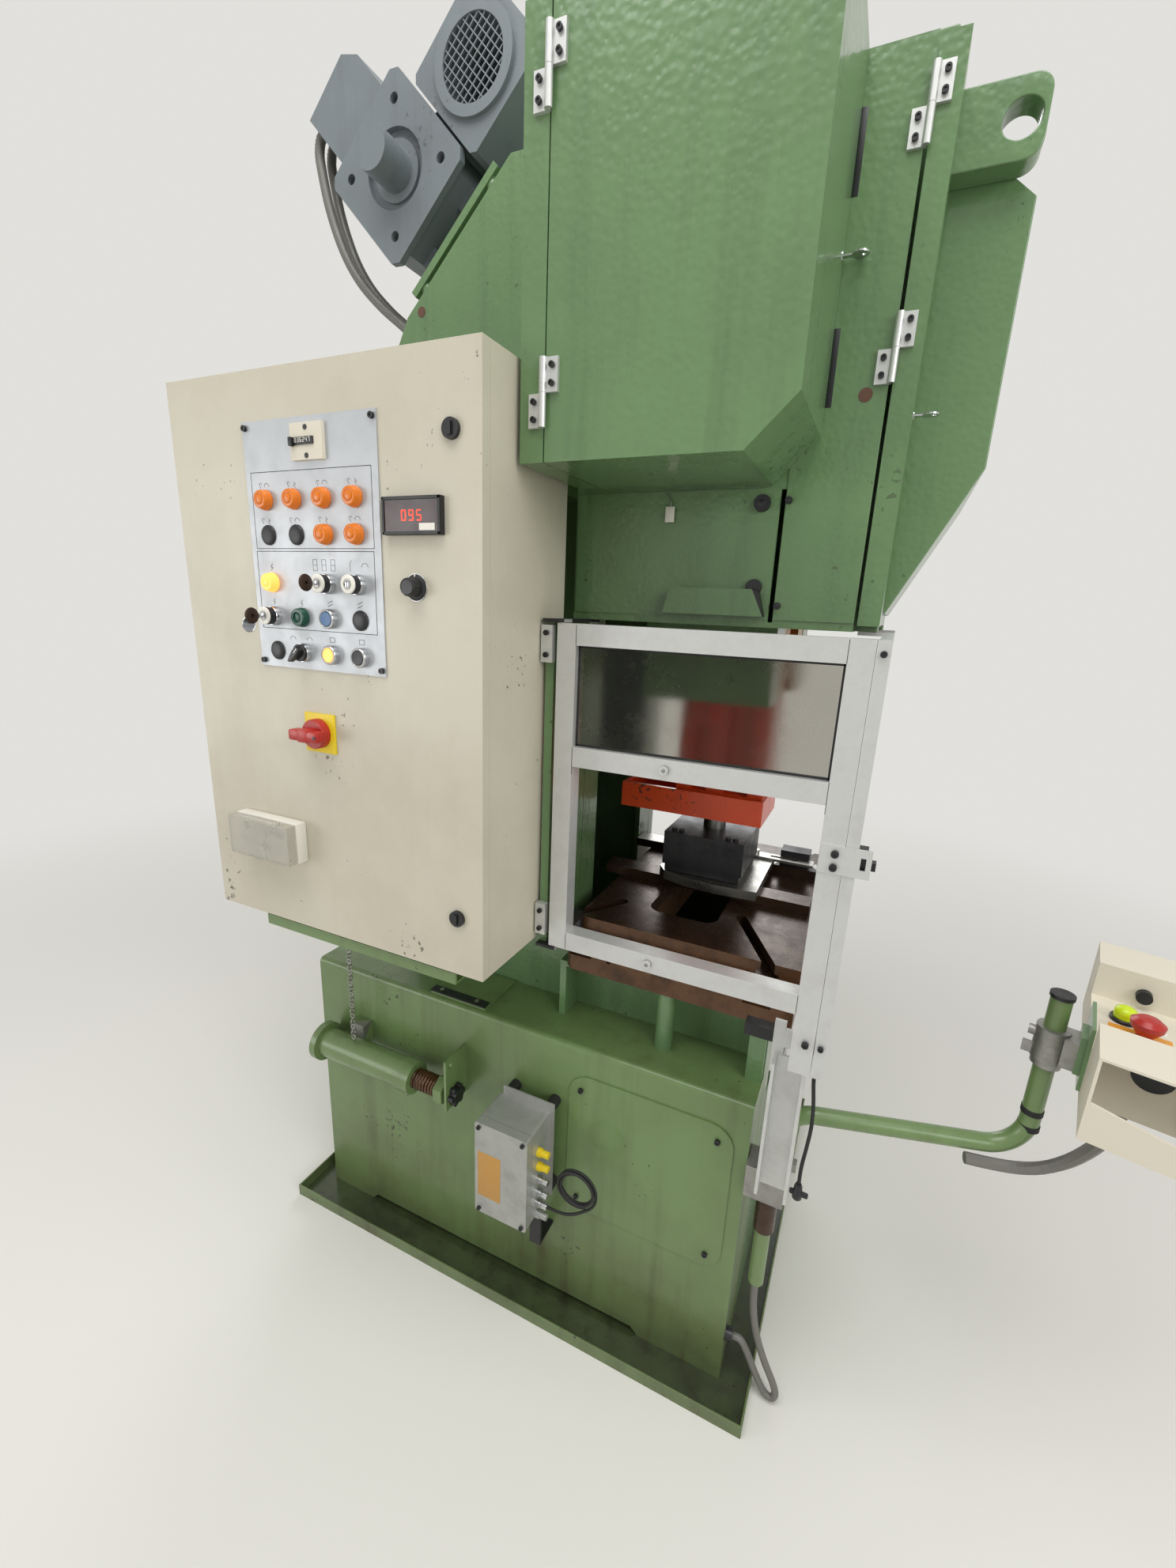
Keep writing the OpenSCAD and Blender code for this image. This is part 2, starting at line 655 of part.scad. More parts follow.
module side_door_key() { color(steel) key_x([head_x1 + sheet_t, near_y - 22, 1786]); }
// Folded hood before the head, between the two lugs, with a sloping foot and cut top corner
module hood_2d(t) {
    polygon([[head_x1, throat_top + 30 + t], [head_x1 + 6, throat_top + 30 + t], [head_x1 + hood_d - t, hood_foot_z + t],
        [head_x1 + hood_d - t, hood_top - 37 - t], [head_x1 + hood_d - 42, hood_top - t], [head_x1, hood_top - t]]);
}
module front_hood() {
    color(green) difference() {
        xz(-inner_y, 2 * inner_y) hood_2d(0);
        translate([-eps, 0, 0]) xz(-inner_y + sheet_t, 2 * (inner_y - sheet_t)) hood_2d(sheet_t * 1.4);
    }
}

// Four L-shaped gibs round the slide's corners, and the crank's two bushes
module gibs() {
    hx = slide_l / 2 + gib_gap;
    hy = slide_w / 2 + gib_gap;
    color(bronze) for (sx = [-1, 1], sy = [-1, 1]) translate([slide_x, 0, guide_z0 + 5]) scale([1, 1, 1])
        linear_extrude(slide_top + stroke - guide_z0 - 60) union() {
            translate([sx > 0 ? hx - 45 : -hx, sy > 0 ? hy : -hy - gib_t]) square([45, gib_t]);
            translate([sx > 0 ? hx : -hx - 14, sy > 0 ? hy - 45 : -hy - gib_t]) square([14, 45 + gib_t]);
        }
}
module gibs_and_bushes() {
    gibs();
    color(bronze) for (y = [near_y - 6, inner_y]) difference() {
        rod_y([slide_x, y, crank_z], bush_r, plate_t + 6);
        rod_y([slide_x, y - 1, crank_z], main_r + run_c, plate_t + 8);
    }
}

// Slide: an oil-catching foot, a slotted neck and a hollow guided body
module slide() {
    neck_x0 = slide_x - 84;
    neck_l = 189;
    color(orange) difference() {
        union() {
            block([foot_x0, -foot_w / 2, foot_z], [foot_l, foot_w, foot_h]);
            block([neck_x0, -62, foot_z + 20], [neck_l, 124, guide_z0 - foot_z - 20 + eps]);
            block([slide_x - slide_l / 2, -slide_w / 2, guide_z0], [slide_l, slide_w, slide_top - guide_z0]);
            block([slide_x - 60, -90, foot_z + foot_h + 150], [44, 30, 122]);
        }
        // Oil tray round the neck
        for (r = [[foot_x0 + rim_t, -foot_w / 2 + rim_t, neck_x0 - foot_x0 - rim_t, foot_w - 2 * rim_t],
                [foot_x0 + rim_t, -foot_w / 2 + rim_t, foot_l - 2 * rim_t, foot_w / 2 - 62 - rim_t],
                [foot_x0 + rim_t, 62, foot_l - 2 * rim_t, foot_w / 2 - 62 - rim_t]])
            block([r[0], r[1], foot_z + 20], [r[2], r[3], foot_h]);
        // Window between the two legs, and the slot in the left one
        block([slide_x + 20, -63, foot_z + foot_h], [52, 36, guide_z0 - foot_z - foot_h - 4]);
        block([neck_x0 + 34, -63, foot_z + foot_h], [32, 26, 170]);
        // Pocket for the connecting rod
        block([slide_x - 70, -46, slide_top - 252], [140, 92, 253]);
        rod_z([shank_x, 0, foot_z - 1], shank_d / 2, 61);
    }
}
module upper_die() {
    x0 = shank_x - die_l / 2;
    color(dark) {
        block([x0 + 5, -die_w / 2 - 1, die_bottom], [die_l - 10, die_w - 8, stripper_t]);
        block([x0, -die_w / 2 - 5, block_z0], [die_l, die_w, die_h]);
        rod_z([shank_x, 0, block_z0 + die_h], shank_d / 2, foot_z + 58 - block_z0 - die_h);
        for (x = [x0 + 18, x0 + 34, x0 + die_l - 38, x0 + die_l - 22]) rod_z([x, -die_w / 2 + 12, block_z0 + die_h], 6, 5);
    }
}

// Connecting rod with its big end, adjusting screw and ball; crankshaft with webs, brake disc and clutch plate
big_r = 75;
rod_w = 76;
ball_r = 30;
ball_z = slide_top - 150;
module conrod() {
    z = crank_z - throw_r;
    color(steel) difference() {
        union() {
            rod_y([slide_x, -rod_w / 2, z], big_r, rod_w);
            block([slide_x - 28, -rod_w / 2 + 4, ball_z + 80], [56, rod_w - 8, z - ball_z - 80]);
            rod_z([slide_x, 0, ball_z], 18, 90);
            translate([slide_x, 0, ball_z]) sphere(ball_r);
        }
        rod_y([slide_x, -rod_w / 2 - 1, z], pin_d / 2 + run_c, rod_w + 2);
    }
}
module crankshaft() {
    web_y = pin_l / 2;
    web_t = 36;
    brake_y = cover_y - 60;
    color(steel) {
        rod_y([slide_x, -web_y, crank_z - throw_r], pin_d / 2, pin_l);
        for (y = [-web_y - web_t, web_y]) rod_y([slide_x, y, crank_z - throw_r / 2], pin_d / 2 + 32, web_t);
        rod_y([slide_x, near_y - 10, crank_z], main_r, -web_y - web_t - near_y + 10);
        rod_y([slide_x, web_y + web_t, crank_z], main_r, far_y - web_y - web_t + 6);
        rod_y([slide_x, brake_y - 110, crank_z], 28, near_y - 10 - brake_y + 110);
        rod_y([slide_x, far_y + 6, crank_z], seat_d / 2, wheel_w + 20);
        rod_y([slide_x, wheel_y1 + 1, crank_z], 105, 24);
    }
    color(dark) {
        rod_y([slide_x, brake_y, crank_z], 125, 14);
        for (i = [0 : 3]) rod_y([slide_x, brake_y - 90 + 18 * i, crank_z], 46, 10);
    }
}
module flywheel() {
    r = wheel_d / 2;
    h = wheel_w;
    color(steel) translate([slide_x, wheel_y1, crank_z]) rotate([90, 0, 0]) rotate_extrude($fn = 72) difference() {
        union() {
            translate([seat_d / 2 + run_c, 0]) square([36, h]);
            translate([seat_d / 2 + 20, h / 2 - 14]) square([r - seat_d / 2 - 40, 28]);
            translate([r - 46, 0]) square([46, h]);
        }
        for (i = [1 : belts]) translate([r - groove_d, i * groove_pitch - 6.5]) square([groove_d + 1, 13]);
    }
}
module motor_pulley() {
    r = pulley_d / 2;
    color(steel) translate([motor_pos[0], 0, motor_pos[1]]) {
        translate([0, wheel_y1, 0]) rotate([90, 0, 0]) rotate_extrude() difference() {
            square([r, wheel_w]);
            for (i = [1 : belts]) translate([r - groove_d, i * groove_pitch - 6.5]) square([groove_d + 1, 13]);
        }
        rod_y([0, motor_y0 + motor_len - 30, 0], motor_shaft_r, wheel_y0 - motor_y0 - motor_len + 30);
    }
}
// Loop round both wheels at radii a and b
wheel_gap = norm([slide_x - motor_pos[0], crank_z - motor_pos[1]]);
wheel_tilt = atan2(motor_pos[1] - crank_z, motor_pos[0] - slide_x);
module loop_2d(a, b) {
    k = acos((a - b) / wheel_gap);
    c = [slide_x, crank_z];
    p = [for (s = [-1, 1]) c + a * [cos(wheel_tilt + s * k), sin(wheel_tilt + s * k)]];
    q = [for (s = [1, -1]) motor_pos + b * [cos(wheel_tilt + s * k), sin(wheel_tilt + s * k)]];
    translate(c) circle(a, $fn = 72);
    translate(motor_pos) circle(b);
    polygon(concat(p, q));
}
module v_belts() {
    a = wheel_d / 2 - groove_d + 0.5;
    b = pulley_d / 2 - groove_d + 0.5;
    color(dark) for (i = [1 : belts]) xz(wheel_y1 - i * groove_pitch - 5.5, 11) difference() {
        loop_2d(a + 11, b + 11);
        loop_2d(a, b);
    }
}
module belt_guard() {
    a = wheel_d / 2 + 28;
    b = pulley_d / 2 + 28;
    d = 148;
    color(green) difference() {
        xz(far_y, d) loop_2d(a, b);
        xz(far_y - 1, d + 1 - sheet_t) loop_2d(a - sheet_t, b - sheet_t);
    }
}

module square_2d(s, c) {
    h = s / 2;
    polygon([[-h + c, -h], [h - c, -h], [h, -h + c], [h, h - c], [h - c, h], [-h + c, h], [-h, h - c], [-h, -h + c]]);
}
module motor() {
    h = motor_s / 2;
    color(motor_grey) on_slope() translate([motor_u, 0, motor_n]) {
        difference() {
            union() {
                xz(motor_y0, 14) square_2d(flange_s, 14);
                xz(motor_y0 + 14, motor_len - 14) square_2d(motor_s, 26);
            }
            rod_y([0, motor_y0 - 1, 0], 64, 13);
            for (i = [0 : 3]) rotate([0, 45 + 90 * i, 0]) rod_y([flange_pcd / 2, motor_y0 - 1, 0], 9, 16);
            rod_y([0, motor_y0 + motor_len - 31, 0], motor_shaft_r + run_c, 32);
        }
        // Tacho on the plain end
        rod_y([0, motor_y0 + 6, 0], 50, 6);
        rod_y([0, motor_y0 - 66, 0], 36, 72);
        // Feet down to the base plate
        for (y = [motor_y0 + 60, motor_y0 + motor_len - 100], x = [-h + 26, h - 66])
            block([x, y, 23 - motor_n], [40, 40, motor_n - 23 - h]);
        // Terminal box on top
        xz(motor_y0 + 45, 150) polygon([[-80, h], [67, h], [67, h + 143], [44, h + 178], [-80, h + 178]]);
    }
}
module motor_blower() {
    s = blower_s;
    y0 = motor_y0 + 4;
    pitch = 124 / (mesh_n + 1);
    color(motor_grey) on_slope() translate([motor_u + motor_s / 2 + 12 + s / 2, 0, motor_n - 34]) {
        difference() {
            xz(y0, 160) square_2d(s, 10);
            rod_y([0, y0 - 1, 0], 62, 120);
        }
        block([-s / 2 - 12, y0 + 30, -50], [12, 90, 100]);
        difference() {
            rod_y([0, y0 - 8, 0], 80, 8);
            rod_y([0, y0 - 9, 0], 62, 10);
        }
        // Wire grille across the mouth
        intersection() {
            rod_y([0, y0 - 6, 0], 64, 3);
            union() for (i = [1 : mesh_n]) {
                block([-62 + i * pitch - 1, y0 - 6, -70], [2, 3, 140]);
                block([-70, y0 - 6, -62 + i * pitch - 1], [140, 3, 2]);
            }
        }
    }
}
conduit_y = near_y + 86;
conduit_route = [[-599.3, 2419], [-606.5, 2412.3], [-611.5, 2398], [-611, 2372], [-592, 2290], [-560, 2212], [-519, 2151], [-464, 2098],
    [-403, 2052], [-363.5, 2019.5], [-337.3, 2005.3]];
module motor_conduits() {
    color(steel) for (y = [conduit_y, conduit_y + 32])
        tube_along([for (p = conduit_route) [p[0], y, p[1]]], 10, 8, 3, [0, 1, 0]);
}

// Cabinet: body shell, door leaf, and the shelf and brackets that carry it
module cabinet_body() {
    color(cream) difference() {
        block([cab_x0, cab_y0, cab_z0], [cab_w, cab_d, cab_h]);
        block([cab_x0 + cab_t, cab_y0 - 1, cab_z0 + cab_t], [cab_w - 2 * cab_t, cab_d + 1 - cab_t, cab_h - 2 * cab_t]);
    }
    color(steel) cab_knuckle(false);
}
cab_gap = 0.4;
cab_hinge = [cab_x0 - 6.5, cab_y0];
cab_hinge_z = [for (h = [0.12, 0.5, 0.88]) cab_z0 + cab_h * h];
module cab_knuckle(up) {
    for (z = cab_hinge_z) {
        difference() {
            union() {
                rod_z([cab_hinge[0], cab_hinge[1], up ? z + 0.2 : z - 32], 6, 31.8);
                block([cab_x0 - 3, up ? cab_y0 - 12 : cab_y0, up ? z + 0.2 : z - 32], [3, 12 - (up ? cab_gap : 0), 31.8]);
            }
            if (up) rod_z([cab_hinge[0], cab_hinge[1], z - 1], 3 + run_c, 26);
        }
        if (!up) rod_z([cab_hinge[0], cab_hinge[1], z - 10], 3, 32);
    }
}
cab_lock_x = cab_x1 - 46;
module quarter_lock(z) {
    rod_y([cab_lock_x, cab_face - 6, z], 13, 6);
    block([cab_lock_x - 3, cab_face - 9, z - 8], [6, 3, 16]);
}
module cabinet_door() {
    color(cream) difference() {
        block([cab_x0, cab_face, cab_z0], [cab_w, cab_door_t - cab_gap, cab_h]);
        block([cab_x0 + cab_t, cab_face + cab_t, cab_z0 + cab_t], [cab_w - 2 * cab_t, cab_door_t, cab_h - 2 * cab_t]);
        for (p = turning_places) rod_y([p[0], cab_face - 1, p[1]], p[2] + run_c, 8);
    }
    color(dark) for (z = [cab_z0 + 100, cab_z0 + cab_h - 103]) quarter_lock(z);
    color(steel) cab_knuckle(true);
}
module cabinet_shelf() {
    z = cab_z0 - 29;
    x0 = cab_x0 + 104;
    color(green) {
        difference() {
            block([x0, cab_face + 10, z], [436, near_y - cab_face - 10, 20]);
            block([x0 - 1, cab_face + 14, z + 4], [438, near_y - cab_face - 50, 17]);
        }
        // Rear brackets tie the cabinet's back to the side plate
        for (zz = [cab_z0 + 90, cab_z0 + cab_h - 130]) block([cab_x0 + 180, cab_back, zz], [380, -cab_back + near_y, 40]);
    }
    color(dark) for (x = [x0 + 30, x0 + 398], y = [cab_face + 40, cab_back - 30]) rod_z([x, y, z + 4], 16, 25);
}

// Fields and fittings on the cabinet door
panel_z0 = cab_z0 + 465;
panel_w = 263;
panel_h = 361;
col_x = [for (i = [0 : 3]) panel_x0 + 40 + 59.5 * i];
row_z = [for (h = [26, 80, 131, 201, 251]) panel_z0 + h];
fit_y = cab_face - 2;
module fitting(x, z, l, r = lamp_d / 2) { rod_y([x, fit_y - l, z], r, l); }
module control_panel() {
    color(alu) difference() {
        block([panel_x0, fit_y, panel_z0], [panel_w, 2, panel_h]);
        for (p = turning_places) rod_y([p[0], fit_y - 1, p[1]], p[2] + run_c, 4);
    }
    color(cream) block([panel_x0 + 106, fit_y - 6, panel_z0 + 302], [62, 6, 49]);
    color(dark) {
        for (x = [panel_x0 + 7, panel_x0 + panel_w - 7], z = [panel_z0 + 9, panel_z0 + panel_h - 9])
            rod_y([x, fit_y - 3, z], 4, 3);
        block([panel_x0 + 116, fit_y - 8, panel_z0 + 322], [36, 2, 10]);
        block([panel_x0 + panel_w + 11, cab_face - 9, panel_z0 + 199], [99, 9, 49]);
    }
}
module panel_lamps() {
    color([0.95, 0.5, 0.08]) {
        for (i = [0 : 3]) fitting(col_x[i], row_z[4], 14);
        for (i = [2, 3]) fitting(col_x[i], row_z[3], 14);
        fitting(col_x[0], row_z[2], 14);
    }
    color([0.05, 0.35, 0.25]) fitting(col_x[1], row_z[1], 10);
}
module panel_fittings() {
    color(dark) {
        for (i = [0, 1]) fitting(col_x[i], row_z[3], 4);
        fitting(col_x[3], row_z[1], 5);
        fitting(col_x[0], row_z[0], 5);
    }
    color(steel) fitting(col_x[3], row_z[2], 24);
    color(cream) block([timer_x0, cab_face - 22, timer_z0], [timer_w, 22, timer_h]);
    color([0.85, 0.75, 0.1]) difference() {
        block([turning_places[7][0] - 32, cab_face - 4, turning_places[7][1] - 32], [64, 4, 64]);
        rod_y([turning_places[7][0], cab_face - 5, turning_places[7][1]], barrel_r + run_c, 6);
    }
}
// What turns or is pressed: place x, z and barrel radius
barrel_r = 9;
turning_places = [[col_x[2], row_z[1], barrel_r], [col_x[2], row_z[0], barrel_r], [col_x[3], row_z[0], barrel_r],
    [col_x[1], row_z[0], barrel_r], [col_x[2], row_z[2], barrel_r], [col_x[0], row_z[1], barrel_r],
    [panel_x0 + panel_w + 60, panel_z0 + 130, barrel_r], [cab_x0 + 288, cab_z0 + 364, barrel_r]];
module barrel(i, l) {
    p = turning_places[i];
    rod_y([p[0], cab_face - l, p[1]], barrel_r, l + 5);
}
module button(i, l) {
    p = turning_places[i];
    barrel(i, 6);
    rod_y([p[0], fit_y - l - 4, p[1]], lamp_d / 2 - 1, l);
}
module button_blue() { color([0.1, 0.25, 0.6]) button(0, 8); }
module button_lit() { color([1, 0.75, 0.1]) button(1, 8); }
module button_black() { color(dark) button(2, 8); }
module bow_2d(r) { circle(r); translate([-r * 0.32, 0]) square([r * 0.64, r * 1.35]); }
module selector_knob() {
    p = turning_places[3];
    color(dark) {
        barrel(3, 6);
        rod_y([p[0], fit_y - 14, p[1]], lamp_d / 2 - 0.5, 13);
        translate([p[0], 0, p[1]]) rotate([0, 45, 0]) block([-4, fit_y - 22, -15], [8, 9, 30]);
    }
}
// Key held upright in its barrel, with its round bow towards the viewer
module key_y(i) {
    p = turning_places[i];
    color(steel) {
        barrel(i, 6);
        rod_y([p[0], fit_y - 24, p[1]], lamp_d / 2 - 1, 23);
        block([p[0] - 1, cab_face - 36, p[1] - 4], [2, 14, 8]);
        rod_x([p[0] - 1, cab_face - 44, p[1]], 12, 2);
    }
}
module key_switch() { key_y(4); }
module key_switch_ringed() {
    p = turning_places[5];
    key_y(5);
    color(steel) translate([p[0], cab_face - 50, p[1] - 15]) rotate([0, 90, 0]) rotate_extrude($fn = 24) translate([11, 0]) circle(1, $fn = 16);
}
module potentiometer_knob() {
    p = turning_places[6];
    color(dark) {
        barrel(6, 2);
        rod_y([p[0], cab_face - 5, p[1]], 18.5, 4.5);
        rod_y([p[0], cab_face - 24, p[1]], 12, 20);
        block([p[0] - 2, cab_face - 26, p[1] - 3], [4, 4, 18]);
    }
}
module main_switch_knob() {
    p = turning_places[7];
    color([0.6, 0.1, 0.1]) {
        barrel(7, 4);
        rod_y([p[0], cab_face - 22, p[1]], 24, 18);
        translate([p[0], 0, p[1]]) difference() {
            block([-32, cab_face - 40, -9], [64, 22, 18]);
            rod_y([-26, cab_face - 41, 0], 3, 24);
        }
    }
}
timer_x0 = cab_x0 + 90;
timer_z0 = cab_z0 + 130;
timer_w = 147;
timer_h = 73;
module timer_cover() {
    color(cream) difference() {
        union() {
            block([timer_x0 + 2, cab_face - 40, timer_z0 + 2], [timer_w - 4, 17.7, timer_h - 4]);
            rod_x([timer_x0 + 28, cab_face - 32, timer_z0 + timer_h - 2], 4, 90);
        }
        block([timer_x0 + 6, cab_face - 37, timer_z0 + 6], [timer_w - 12, 20, timer_h - 12]);
    }
}

// Guard door of flat aluminium profile, hung on two pivots, with its hasp and round-headed bolts
module guard_door_frame() {
    z1 = guard_top;
    x1 = guard_x1 - prof_w;
    color(alu) difference() {
        union() {
            block([guard_x0, -guard_y, guard_z0], [prof_w, prof_t, z1 - guard_z0]);
            block([x1, -guard_y, stile_z0], [prof_w, prof_t, z1 - stile_z0]);
            for (z = [guard_z0, mid_rail_z0, z1 - prof_w])
                block([guard_x0 + prof_w, -guard_y, z], [guard_w - 2 * prof_w, prof_t, prof_w]);
        }
        for (z = [guard_z0 - 1, z1 - 19]) rod_z([pivot_x, pivot_y, z], pivot_r + run_c, 20);
        // Rebate for the window
        block([guard_x0 + prof_w - 5.3, -guard_y + 11.8, window_z0 - 5.3], [guard_w - 2 * prof_w + 10.6, 4.4, window_h + 7.6]);
    }
    color(alu) difference() {
        block([guard_x1 - 32, -guard_y - 3, 1158], [68, 3, 42]);
        block([guard_x1 + 22, -guard_y - 4, 1170], [7, 5, 18]);
    }
    color(dark) {
        for (z = [1168, 1188]) screw_y(guard_x1 - 12, -guard_y - 3, z, 5);
        screw_y(guard_x1 - 13, -guard_y, stile_z0 + 54, 5);
    }
    color(steel) for (p = [[0.415, mid_rail_z0], [0.405, guard_z0]])
        rod_y([guard_x0 + guard_w * p[0], -guard_y - 6, p[1] + prof_w / 2], 7, 6);
}
module guard_window() {
    x0 = guard_x0 + prof_w - 5;
    w = guard_w - 2 * prof_w + 10;
    color([0.5, 0.52, 0.5, 0.45]) block([x0, -guard_y + 12, window_z0 - 5], [w, 4, window_h + 7]);
}
// Fixed side guard in the press's front plane, with the pivots and hinge post of the door
module guard_fixed_frame() {
    y0 = -guard_y + 0.5;
    l = side_y1 - y0;
    channel_y1 = y0 + 42;
    color(alu) {
        block([side_x0, y0, stile_z0], [bar_w, prof_t, guard_top - stile_z0]);
        block([side_x0, side_y1 - prof_t, guard_z0], [bar_w, prof_t, guard_top - guard_z0]);
        for (z = [guard_z0, mid_rail_z0, guard_top - prof_w])
            block([side_x0, y0 + prof_t, z], [bar_w, l - 2 * prof_t, prof_w]);
        // Lugs that hang the frame under the head
        for (y = [near_y + 5, far_y - 35])
            block([head_x1 - 29, y, guard_top], [side_x1 - head_x1 + 29, 30, throat_top - guard_top]);
        // Channel before the base's side, its tie under the table and its strap to the frame
        difference() {
            block([base_x1 + 24, y0 + 8, 560], [52, 34, stile_z0 - 4 - 560]);
            block([base_x1 + 29, y0 + 3, 559], [42, 34, stile_z0 - 559]);
        }
        block([base_x1 + 18, channel_y1, table_z0 - 14], [18, 150, 14]);
        block([base_x1 + 18, channel_y1, table_z0 - 14], [18, 8, 96]);
        block([base_x1 + 18, channel_y1, stile_z0 + 8], [side_x1 - base_x1 - 18, 8, 32]);
        block([side_x0, y0 + prof_t, stile_z0 + 8], [bar_w, channel_y1 - y0 - prof_t, 32]);
        // Hinge blocks
        for (z = [guard_z0 + 18, guard_top - 62]) block([guard_x0 - 28, y0 - 2, z], [20, 12, 58]);
    }
    color(green) block([guard_x0 - 25, y0 + 10, guard_z0 - 14], [15, 14, guard_top - guard_z0 + 16]);
    color(dark) {
        for (z = [guard_z0 - 6, guard_top + 1]) block([guard_x0 - 25, y0 - 3, z], [38, 27, 5]);
        rod_z([pivot_x, pivot_y, guard_z0 - 2], pivot_r, 18);
        rod_z([pivot_x, pivot_y, guard_top - 17], pivot_r, 19);
        // Ties from the post back to the cover and down to the table's corner
        block([guard_x0 - 25, y0 + 18, guard_top + 1], [20, cover_y - y0 - 18 + 40, throat_top - guard_top - 1]);
        block([guard_x0 - 25, y0 + 18, guard_z0 - 14], [20, -table_w / 2 + 17 - y0 - 18, 10]);
        block([guard_x0 - 25, -table_w / 2 + 1, table_top], [20, 16, guard_z0 - 6 - table_top]);
        for (z = [guard_z0 + 30, guard_z0 + 64, guard_top - 50, guard_top - 16]) screw_y(guard_x0 - 18, y0 - 2, z, 4);
        for (z = [stile_z0 + 54, guard_top - 18]) screw_y(side_x0 + bar_w / 2, y0, z, 4);
        // Safety switch behind the stile's foot
        block([base_x1 - 30, channel_y1 + 8, stile_z0 + 6], [56, 22, 22]);
        block([base_x1 + 20, channel_y1 + 4, stile_z0 + 6], [10, 26, 22]);
        // Switch head beside the door's tongue
        block([side_x1, y0 + 6, 1163], [12, 22, 34]);
        block([side_x1 + 12, y0 + 8, 1168], [12, 14, 12]);
    }
}
module guard_side_window() {
    l = side_y1 + guard_y - 2 * prof_t;
    color([0.5, 0.52, 0.5, 0.45]) block([side_x0 + bar_w / 2 - 2, -guard_y + prof_t + 0.5, window_z0], [4, l - 0.5, guard_top - prof_w - window_z0]);
}
// Junction box with its glands, held off the base on rubber mounts
gland_z = [458, 424, 391, 358, 331, 304];
module junction_box() {
    y0 = jbox_y1 - jbox_d;
    color(alu) {
        translate([jbox_x0, 0, jbox_z0]) xz(y0 + 20, jbox_d - 20) rounded(jbox_w, jbox_h, 6);
        translate([jbox_x0, 0, jbox_z0]) xz(y0, 19) rounded(jbox_w, jbox_h, 6);
        translate([jbox_x0 + 2, 0, jbox_z0 + 2]) xz(y0 + 18, 3) rounded(jbox_w - 4, jbox_h - 4, 5);
    }
    color(dark) {
        for (x = [10, jbox_w - 10], z = [10, jbox_h - 10]) screw_y(jbox_x0 + x, y0, jbox_z0 + z, 4);
        for (x = [24, jbox_w - 2], z = [24, jbox_h + 7]) rod_y([jbox_x0 + x, jbox_y1 + 3, jbox_z0 + z], 12, 27);
        block([jbox_x0 + 96, jbox_y1 - 30, jbox_z0 - 96], [26, 60, 6]);
        block([jbox_x0 + 96, jbox_y1 - 30, jbox_z0 - 96], [26, 6, 96]);
    }
    color(alu) block([jbox_x0 + 10, jbox_y1 - eps, jbox_z0 + 12], [jbox_w, 3 + eps, jbox_h + 8]);
    color(steel) for (z = gland_z) {
        rod_x([jbox_x0 + jbox_w, jbox_y1 - 45, z], 9, 8);
        rod_x([jbox_x0 + jbox_w + 8, jbox_y1 - 45, z], 7, 16);
    }
}
coil_c = [212, jbox_y1 - 45, 408];
coil_r = 37;
lead_route = [[0, 0, 331], [17, 0, 331], [37, 0, 333.5], [55, 0, 341.5], [71, 0, 353], [85.1, 0, 366.4]];
module junction_cable() {
    color(dark) tube_along([for (p = lead_route) [jbox_x0 + jbox_w + 24 + p[0], jbox_y1 - 45, p[2]]], 3, 8, 4, [0, 1, 0]);
}
module cable_coil() {
    color(dark) translate(coil_c) rotate([90, 0, 0]) rotate_extrude() translate([coil_r, 0]) circle(7, $fn = 24);
}

// Spring-loaded tube on the base's front: flange, barrel, collar, spring, nut and star knob, with its chain
link_r = 5.5;
link_wire = 1.6;
link_pitch = 2 * (link_r + link_wire) - 0.2;
module tension_tube() {
    x0 = -478;
    links = floor((cab_z0 - 29 - tube_z - 33) / link_pitch);
    color(green) {
        rod_x([x0, tube_y, tube_z], 44, 16);
        rod_x([x0 + 16, tube_y, tube_z], 33, 236);
        rod_x([x0 + 240, tube_y, tube_z], 36, 38);
        // Bracket behind the barrel, and the plate that ends it
        block([x0 + 70, front_y - 30, tube_z + 8], [40, 30, 52]);
        difference() {
            block([x0 + 372, tube_y - 25, tube_z - 30], [6, front_y - tube_y + 25, 122]);
            rod_x([x0 + 371, tube_y - 10, tube_z + 76], 6, 8);
        }
        translate([x0 + 342, tube_y, tube_z]) rotate([0, 90, 0]) cylinder(r = 30, h = 22, $fn = 6);
    }
    color(oiled) {
        rod_x([x0 + 270, tube_y, tube_z], 9, 104);
        for (i = [0 : 6]) rod_x([x0 + 280 + 9 * i, tube_y, tube_z], 20, 4.5);
    }
    color(dark) {
        rod_x([x0 + 378, tube_y, tube_z], 16, 16);
        for (i = [0 : 5]) translate([x0 + 380, tube_y, tube_z]) rotate([60 * i, 0, 0]) rod_x([0, 18, 0], 6, 12);
    }
    // Chain from the cabinet's shelf down to the barrel
    color(steel) for (i = [0 : links]) translate([cab_x0 + 114, tube_y, cab_z0 - 29 - link_r - link_wire + 0.1 - link_pitch * i])
        rotate([90, 0, 90 * (i % 2)]) rotate_extrude($fn = 16) translate([link_r, 0]) circle(link_wire, $fn = 8);
}

